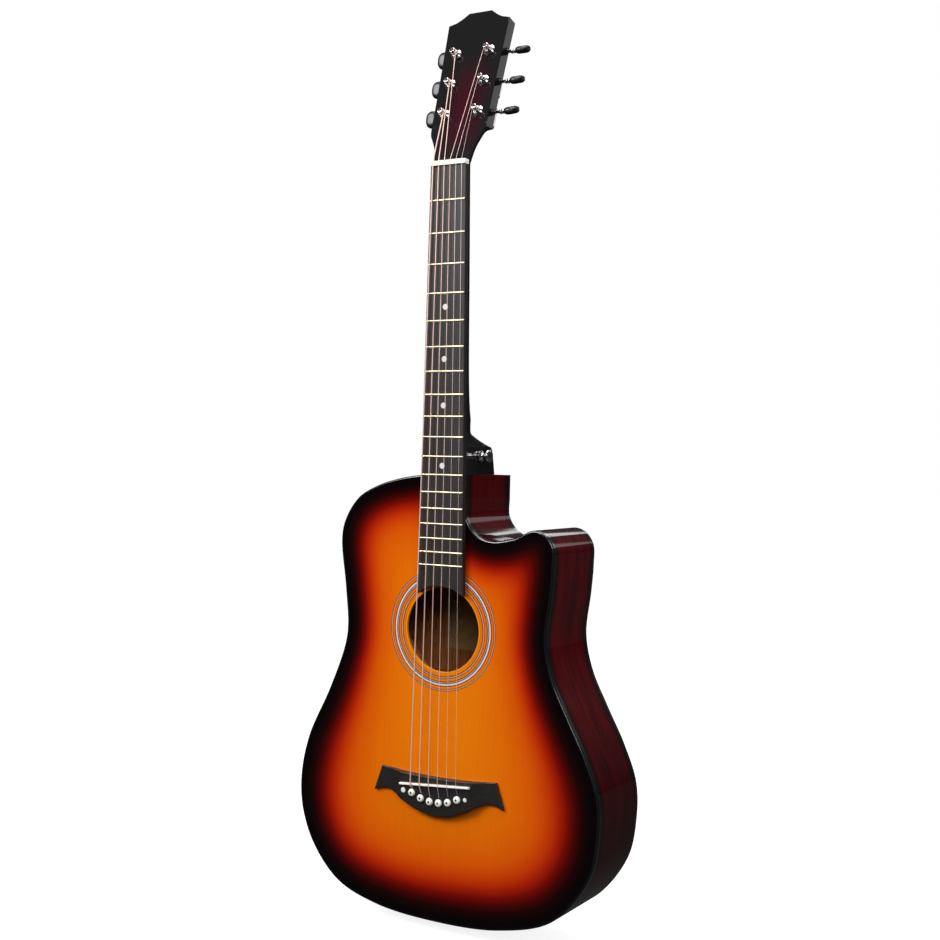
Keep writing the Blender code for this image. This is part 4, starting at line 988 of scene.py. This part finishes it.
def key_button(n, side, axis_v):
    """A flattened, squarish knob, turned about the shaft."""
    rings, cosine, sine = [], math.cos(BUTTON_TURN[side]), math.sin(BUTTON_TURN[side])
    for latitude in np.linspace(-np.pi / 2, np.pi / 2, 25)[1:-1]:
        flat, ring = math.cos(latitude) ** 0.82, []
        bulge = math.copysign(abs(math.sin(latitude)) ** 0.9, latitude)
        for angle in np.linspace(0, 2 * np.pi, 40, endpoint=False):
            a, b = corner_power(angle, 0.8)
            # The two broad faces are dished a little where finger and thumb press.
            dish = 1 - 0.16 * math.exp(-(a / 0.45) ** 2 - (bulge / 0.6) ** 2)
            tall, thick = BUTTON_TALL * flat * a, BUTTON_THICK * flat * b * dish
            ring.append((side * (BUTTON_X + BUTTON_LONG * bulge), axis_v + tall * cosine - thick * sine,
                         WORM_W + tall * sine + thick * cosine))
        rings.append(ring)
    return skin(f"key_button_{n}", rings, place=HEAD, sharp=math.radians(60))


for n, at in POSTS.items():
    shaft = key_shaft(n, SIDE[n], at.y + WORM_OFFSET)
    piece(shaft, chrome_finish, f"key_{n}", "chrome", f"tuner_key_{n}")
    button = key_button(n, SIDE[n], at.y + WORM_OFFSET)
    piece(button, button_finish, f"key_{n}", "chrome")

# %% [markdown]
# The post is a turned pin with a waist, where the string is wound. Its gear sits at the lower end, under
# the cover. Each string passes through a cross hole and lies in a few neat turns round the waist.

# %% Posts, gears and windings
TOOTH_TURN = 2 * math.pi / GEAR_TEETH
WAIST_RADIUS, WAIST_TOP, WOUND_WIDTH, STRING_GAP = 2.5 * MM, 7.6 * MM, 2.6 * MM, 0.05 * MM


def gear_outline(x, v):
    """Teeth as narrow trapezia, one of them pointing up at the worm."""
    points = []
    for tooth in range(GEAR_TEETH):
        for offset, reach in ((-0.27, -DEDENDUM), (-0.11, ADDENDUM), (0.11, ADDENDUM), (0.27, -DEDENDUM)):
            turn, radius = math.pi / 2 + (tooth + offset) * TOOTH_TURN, GEAR_RADIUS + reach
            points.append((x + radius * math.cos(turn), v + radius * math.sin(turn)))
    return points


POST_PROFILE = [(0, 10.45), (1.9, 10.5), (2.5, 10.42), (2.88, 10.1), (3.0, 9.6), (3.0, 8.8), (2.8, 8.3),
                (2.5, 7.8), (2.5, 4.8), (2.8, 4.3), (3.0, 3.9), (3.0, -21.6), (0, -21.6)]
BUSHING_PROFILE = [(3.3, 3.0), (3.6, 3.1), (4.1, 3.05), (4.4, 2.7), (4.5, 1.9), (4.9, 1.5), (5.7, 1.25),
                   (6.0, 0.95), (6.0, 0.3), (4.6, 0.3), (4.6, -9), (3.3, -9), (3.3, 3.0)]


def coil(n, at, radius):
    """The string's turns round the post's waist, from where the string arrives."""
    turns = min(3.0, WOUND_WIDTH / (2.2 * radius))
    reach = WAIST_RADIUS + radius + STRING_GAP
    steps, sections = int(turns * 26), []
    for share in np.arange(steps + 1) / steps:
        angle = -SIDE[n] * 2 * math.pi * turns * share - (0 if SIDE[n] > 0 else math.pi)
        outward = Vector((math.cos(angle), math.sin(angle), 0))
        height = WAIST_TOP - radius - (WOUND_WIDTH - 2 * radius) * share
        middle = at + outward * reach + Vector((0, 0, height))
        sections.append([middle + radius * (outward * math.cos(t) + Vector((0, 0, 1)) * math.sin(t))
                         for t in np.arange(8) * math.pi / 4])
    return skin(f"winding_{n}", sections, place=HEAD)


def string_look(number):
    """The finish and the slot of string 0 (bass) to 5 (treble): four are wound, two are plain."""
    return (wound_string_finish, "bronze_winding") if number < 4 else (plain_string_finish, "plain_steel")


for n, at in POSTS.items():
    post_at = HEAD @ Matrix.Translation(at)
    post = turned(f"post_pin_{n}", POST_PROFILE, post_at)
    bore_at = HEAD @ Matrix.Translation(at + Vector((0, 0, 6.3 * MM))) @ Matrix.Rotation(math.pi / 2, 4, "X")
    post = carve(post, [drill(f"string_bore_{n}", 0.9, -8, 8, bore_at, 16)])
    gear = slab(f"gear_{n}", [gear_outline(at.x, at.y)], WORM_W - 1.3 * MM, WORM_W + 1.3 * MM, HEAD)
    piece(post, chrome_finish, f"post_{n}", "chrome", f"tuner_post_{n}")
    piece(gear, steel_finish, f"post_{n}", "chrome")
    bushing = turned(f"bushing_{n}", BUSHING_PROFILE, post_at, 48)
    piece(bushing, chrome_finish, "guitar", "chrome", f"tuner_bushing_{n}")
    finish, slot_name = string_look(n - 1)
    piece(coil(n, at, STRING_RADII[n - 1] * MM), finish, f"post_{n}", slot_name)

# %% [markdown]
# A pressed chrome cover closes each machine, with a small lug and a slotted screw toward the nut. The
# screws are alike, so one is made and Geometry Nodes place the six.

# %% Covers, lugs and screws
HOUSING_HALF_X, HOUSING_HALF_Y, HOUSING_DEPTH = 8.2 * MM, 13 * MM, 10.5 * MM
HOUSING_RISE, HOUSING_WALL = 3.5 * MM, 1.2 * MM
LUG_RADIUS, LUG_REACH, LUG_THICKNESS = 4.2 * MM, 3.0 * MM, 1.1 * MM
HEAD_BACK = -HEAD_THICKNESS - GAP


def pressed_cover(n, at):
    """A squarish cap with eased edges, hollow, with a hole where the key's shaft comes out."""
    x, y, floor = at.x, at.y + HOUSING_RISE, HEAD_BACK - HOUSING_DEPTH
    corners = [corner_power(t, 0.28) for t in np.linspace(0, 2 * np.pi, 64, endpoint=False) + 0.01]
    shell_outline = [(x + a * HOUSING_HALF_X, y + b * HOUSING_HALF_Y) for a, b in corners]
    cover = slab(f"cover_{n}", [shell_outline], floor, HEAD_BACK, HEAD, edge=1.0 * MM, steps=4)
    inside = [(x + a * (HOUSING_HALF_X - HOUSING_WALL), y + b * (HOUSING_HALF_Y - HOUSING_WALL))
              for a, b in ((-1, -1), (1, -1), (1, 1), (-1, 1))]
    hollow = slab(f"hollow_{n}", [inside], floor + HOUSING_WALL, HEAD_BACK + 4 * MM, HEAD)
    out_to_side = Matrix.Rotation(SIDE[n] * math.pi / 2, 4, "Y")
    shaft_at = HEAD @ Matrix.Translation((x, at.y + WORM_OFFSET, WORM_W)) @ out_to_side
    return carve(cover, [hollow, drill(f"shaft_bore_{n}", SHAFT_RADIUS / MM + 0.3, 0, 14, shaft_at, 24)])


def screw_lug(n, at):
    """A round-ended tongue below the cover, flat against the headstock's back."""
    edge_y = at.y + HOUSING_RISE - HOUSING_HALF_Y
    tongue = [(at.x + LUG_RADIUS * math.cos(t), edge_y - LUG_REACH + LUG_RADIUS * math.sin(t))
              for t in np.linspace(np.pi, 2 * np.pi, 17)]
    tongue += [(at.x + LUG_RADIUS, edge_y + 0.6 * MM), (at.x - LUG_RADIUS, edge_y + 0.6 * MM)]
    return slab(f"lug_{n}", [tongue], HEAD_BACK - LUG_THICKNESS, HEAD_BACK - 0.02 * MM, HEAD,
                edge=0.3 * MM, steps=2)


for n, at in POSTS.items():
    piece(pressed_cover(n, at), chrome_finish, "guitar", "chrome", f"tuner_housing_{n}")
    piece(screw_lug(n, at), chrome_finish, "guitar", "chrome")

screw = turned("screw_shape", [(0, 1.5), (1.2, 1.42), (2.0, 1.1), (2.5, 0.5), (2.6, 0), (0, 0)],
               head_axes @ Matrix.Rotation(math.pi, 4, "X"), 28)
slot_outline = [(a * 3 * MM, b * 0.35 * MM) for a, b in ((-1, -1), (1, -1), (1, 1), (-1, 1))]
slot_cut = slab("screw_slot", [slot_outline], -3 * MM, -0.8 * MM, head_axes @ Matrix.Rotation(0.6, 4, "Z"))
screw = carve(screw, [slot_cut])
from_post = Vector((0, HOUSING_RISE - HOUSING_HALF_Y - LUG_REACH, HEAD_BACK - LUG_THICKNESS))
screw_points = [(tuple(HEAD @ (Vector((*at.xy, 0)) + from_post)), (1, 1, 1)) for at in POSTS.values()]
screws = placed_copies("cover_screws", screw, screw_points, chrome_finish)
piece(screws, chrome_finish, "guitar", "chrome")

# %% [markdown]
# Strings run from their pins over the saddle, down the neck, through the nut and up to the posts. Four
# are wound with bronze and two are plain steel. Each is a tube along a short list of points, with
# softened corners where it breaks over the saddle and the nut.

# %% Strings
def arrival(number, radius, nut_back):
    """Where a string meets its post's waist, coming straight from the nut."""
    side, post = SIDE[number + 1], POSTS[number + 1]
    target = Vector((post.x, post.y, WAIST_TOP - 0.7 * MM))
    toward = (target - HEAD.inverted() @ nut_back).normalized()
    across = Vector((-side * toward.y, side * toward.x, 0)).normalized()
    return HEAD @ (target + across * (WAIST_RADIUS + radius + STRING_GAP))


def string_route(number, radius):
    """From inside the body, up past the pin, over the saddle and the nut, to the post."""
    x, z, nut_x = PIN_X[number], PIN_Z[number], NUT_X[number]
    saddle_y, saddle_z = SADDLE_TOP_Y - radius - STRING_GAP, SADDLE_Z + SADDLE_DROP / SADDLE_ACROSS * x
    nut_back = Vector((nut_x, STRING_AT_NUT_Y + 0.15 * MM, NUT_LENGTH + 0.5 * MM))
    return [(x, 12 * MM, z + 3.6 * MM), (x, 1.0 * MM, z + 3.9 * MM),
            (x, BRIDGE_TOP_Y - radius, z + 6.2 * MM), (x, saddle_y + 0.5 * MM, saddle_z - 1.8 * MM),
            (x, saddle_y, saddle_z - 0.5 * MM), (x, saddle_y, saddle_z + 0.6 * MM),
            (nut_x, STRING_AT_NUT_Y, 0), (nut_x, STRING_AT_NUT_Y, NUT_LENGTH * 0.7),
            tuple(nut_back), tuple(arrival(number, radius, nut_back))]


for number, thickness in enumerate(STRING_RADII):
    route = string_route(number, thickness * MM)
    name = f"string_line_{STRINGS - number}"
    curve = bpy.data.curves.new(name, "CURVE")
    curve.dimensions, curve.use_fill_caps = "3D", True
    curve.bevel_depth, curve.bevel_resolution = thickness * MM, 3
    spline = curve.splines.new("POLY")
    spline.points.add(len(route) - 1)
    spline.points.foreach_set("co", [value for point in route for value in (*point, 1)])
    line = bpy.data.objects.new(name, curve)
    bpy.context.scene.collection.objects.link(line)
    finish, slot_name = string_look(number)
    piece(applied(line), finish, "guitar", slot_name, f"string_{STRINGS - number}")

# %% [markdown]
# Two strap buttons, one on the heel and one at the tail, are turned in chromed steel.

# %% Strap buttons
STRAP_PROFILE = [(0, 12.5), (2.4, 12.6), (4.6, 12.55), (6.0, 12.2), (6.7, 11.5), (6.9, 10.8), (6.6, 10.1),
                 (5.6, 9.4), (4.2, 8.6), (3.4, 7.4), (3.0, 5.6), (3.2, 4.2), (4.0, 3.0), (5.2, 2.2),
                 (6.1, 1.5), (6.2, 0.9), (6.2, 0.3), (1.4, 0.3), (1.4, -9), (0, -10)]
heel_at = Matrix.Translation((15.4 * MM, 53 * MM, -301 * MM)) @ Matrix.Rotation(math.pi / 2, 4, "Y")
tail_at = Matrix.Translation((0, MIDDLE_Y, -791.2 * MM)) @ Matrix.Rotation(math.pi, 4, "X")
for name, place in (("heel", heel_at), ("tail", tail_at)):
    button = turned(f"{name}_strap_button", STRAP_PROFILE, place, 48)
    piece(button, chrome_finish, "guitar", "chrome", f"strap_button_{name}")

# %% [markdown]
# The solids inside the body keep their shapes: blocks, linings, braces, bridge plate, truss rod and the
# label. They only need a finish.

# %% Solids that keep their shape
KEPT = {"label": paper_finish, "truss_rod": steel_finish, "truss_rod_nut": steel_finish}
for name, obj in frame["nodes"].items():
    finish = KEPT.get(name, inner_finish)
    if not obj.hide_render:
        obj.data.materials.clear()
        obj.data.materials.append(finish.material)
        print("kept:", name)

# %% [markdown]
# The studio is plain: a pale floor, a pale surround and six soft lights. Gloss shows whatever stands
# round it, so the surround is bright for the eye and dim for reflections. Four soft boxes light the wood.
# The one at the side is kept out of reflections, or it would lie as white bars across the ribs. Two weak
# ones behind the guitar mostly show in its gloss: along the cutaway's shoulder and down the headstock's
# side.

# %% Studio
FLOOR_Z = CAD_BOX[0][2] - 0.5 * MM


def stage_shader(tree, seen, reflected):
    """A surface or surround that is bright to the eye and dimmer in reflections."""
    path = tree.nodes.new("ShaderNodeLightPath")
    mix = tree.nodes.new("ShaderNodeMixShader")
    tree.links.new(path.outputs["Is Camera Ray"], mix.inputs[0])
    tree.links.new(reflected, mix.inputs[1])
    tree.links.new(seen, mix.inputs[2])
    return mix.outputs[0]


world = bpy.data.worlds.new("surround")
world.use_nodes = True
tree = world.node_tree
tree.nodes.clear()
bright = tree.nodes.new("ShaderNodeBackground")
bright.inputs["Color"].default_value = (1, 1, 1, 1)
height = tree.nodes.new("ShaderNodeSeparateXYZ")
tree.links.new(tree.nodes.new("ShaderNodeTexCoord").outputs["Generated"], height.inputs[0])


def graded(low, high):
    """A surround that brightens from the horizon to the top."""
    ramp, background = tree.nodes.new("ShaderNodeValToRGB"), tree.nodes.new("ShaderNodeBackground")
    tree.links.new(height.outputs["Z"], ramp.inputs[0])
    tree.links.new(ramp.outputs[0], background.inputs["Color"])
    ramp.color_ramp.elements[0].color = (low, low, low, 1)
    ramp.color_ramp.elements[1].color = (high, high, high, 1)
    return background.outputs[0]


reflected = tree.nodes.new("ShaderNodeMixShader")
path = tree.nodes.new("ShaderNodeLightPath")
tree.links.new(path.outputs["Is Glossy Ray"], reflected.inputs[0])
tree.links.new(graded(0.10, 0.60), reflected.inputs[1])
tree.links.new(graded(0.02, 0.16), reflected.inputs[2])
out = tree.nodes.new("ShaderNodeOutputWorld")
tree.links.new(stage_shader(tree, bright.outputs[0], reflected.outputs[0]), out.inputs["Surface"])
bpy.context.scene.world = world

bm = bmesh.new()
bmesh.ops.create_circle(bm, cap_ends=True, segments=96, radius=14)
floor = mesh_object("floor", bm, Matrix.Translation((0, 0, FLOOR_Z)))
floor_material = bpy.data.materials.new("pale_floor")
floor_material.use_nodes = True
tree = floor_material.node_tree
tree.nodes.clear()
pale, glow, sheet, low = (tree.nodes.new("ShaderNode" + kind)
                          for kind in ("BsdfDiffuse", "Emission", "AddShader", "Emission"))
pale.inputs["Color"].default_value = (0.34, 0.34, 0.34, 1)
glow.inputs["Strength"].default_value = 0.86
low.inputs["Color"].default_value = (0.04, 0.04, 0.04, 1)
tree.links.new(pale.outputs[0], sheet.inputs[0])
tree.links.new(glow.outputs[0], sheet.inputs[1])
out = tree.nodes.new("ShaderNodeOutputMaterial")
tree.links.new(stage_shader(tree, sheet.outputs[0], low.outputs[0]), out.inputs["Surface"])
floor.data.materials.append(floor_material)


def soft_box(name, at, target, size, power, seen=True, mirrored=True):
    """A rectangular light aimed at a point; `seen` and `mirrored` say whether it shows itself."""
    light = bpy.data.lights.new(name, "AREA")
    light.shape, light.size, light.size_y, light.energy = "RECTANGLE", *size, power
    obj = bpy.data.objects.new(name, light)
    obj.location = at
    obj.rotation_euler = (Vector(target) - Vector(at)).to_track_quat("-Z", "Y").to_euler()
    obj.visible_camera, obj.visible_glossy = seen, mirrored
    bpy.context.scene.collection.objects.link(obj)


soft_box("key_light", (-1.3, -2.1, 1.15), (0, 0, -0.35), (1.5, 1.2), 76)
soft_box("fill_light", (1.6, -2.4, 0.9), (0, 0, -0.4), (1.0, 1.0), 27)
soft_box("overhead_light", (0.25, 0.0, 1.5), (0.05, 0, -0.3), (1.4, 1.2), 28)
soft_box("side_light", (1.9, 0.1, -0.15), (0, 0, -0.25), (0.35, 1.5), 10, mirrored=False)
soft_box("shoulder_light", (-0.3, 1.95, 0.62), (0.1, 0, -0.4), (0.9, 0.14), 1.1, seen=False)
soft_box("rim_light", (1.45, 2.5, 0.75), (0.05, 0, 0.1), (0.9, 0.8), 1.9, seen=False)

scene = bpy.context.scene
scene.view_settings.view_transform = "Standard"
scene.view_settings.look = "None"
scene.view_settings.exposure = 0
scene.view_settings.gamma = 1
print("studio is lit")
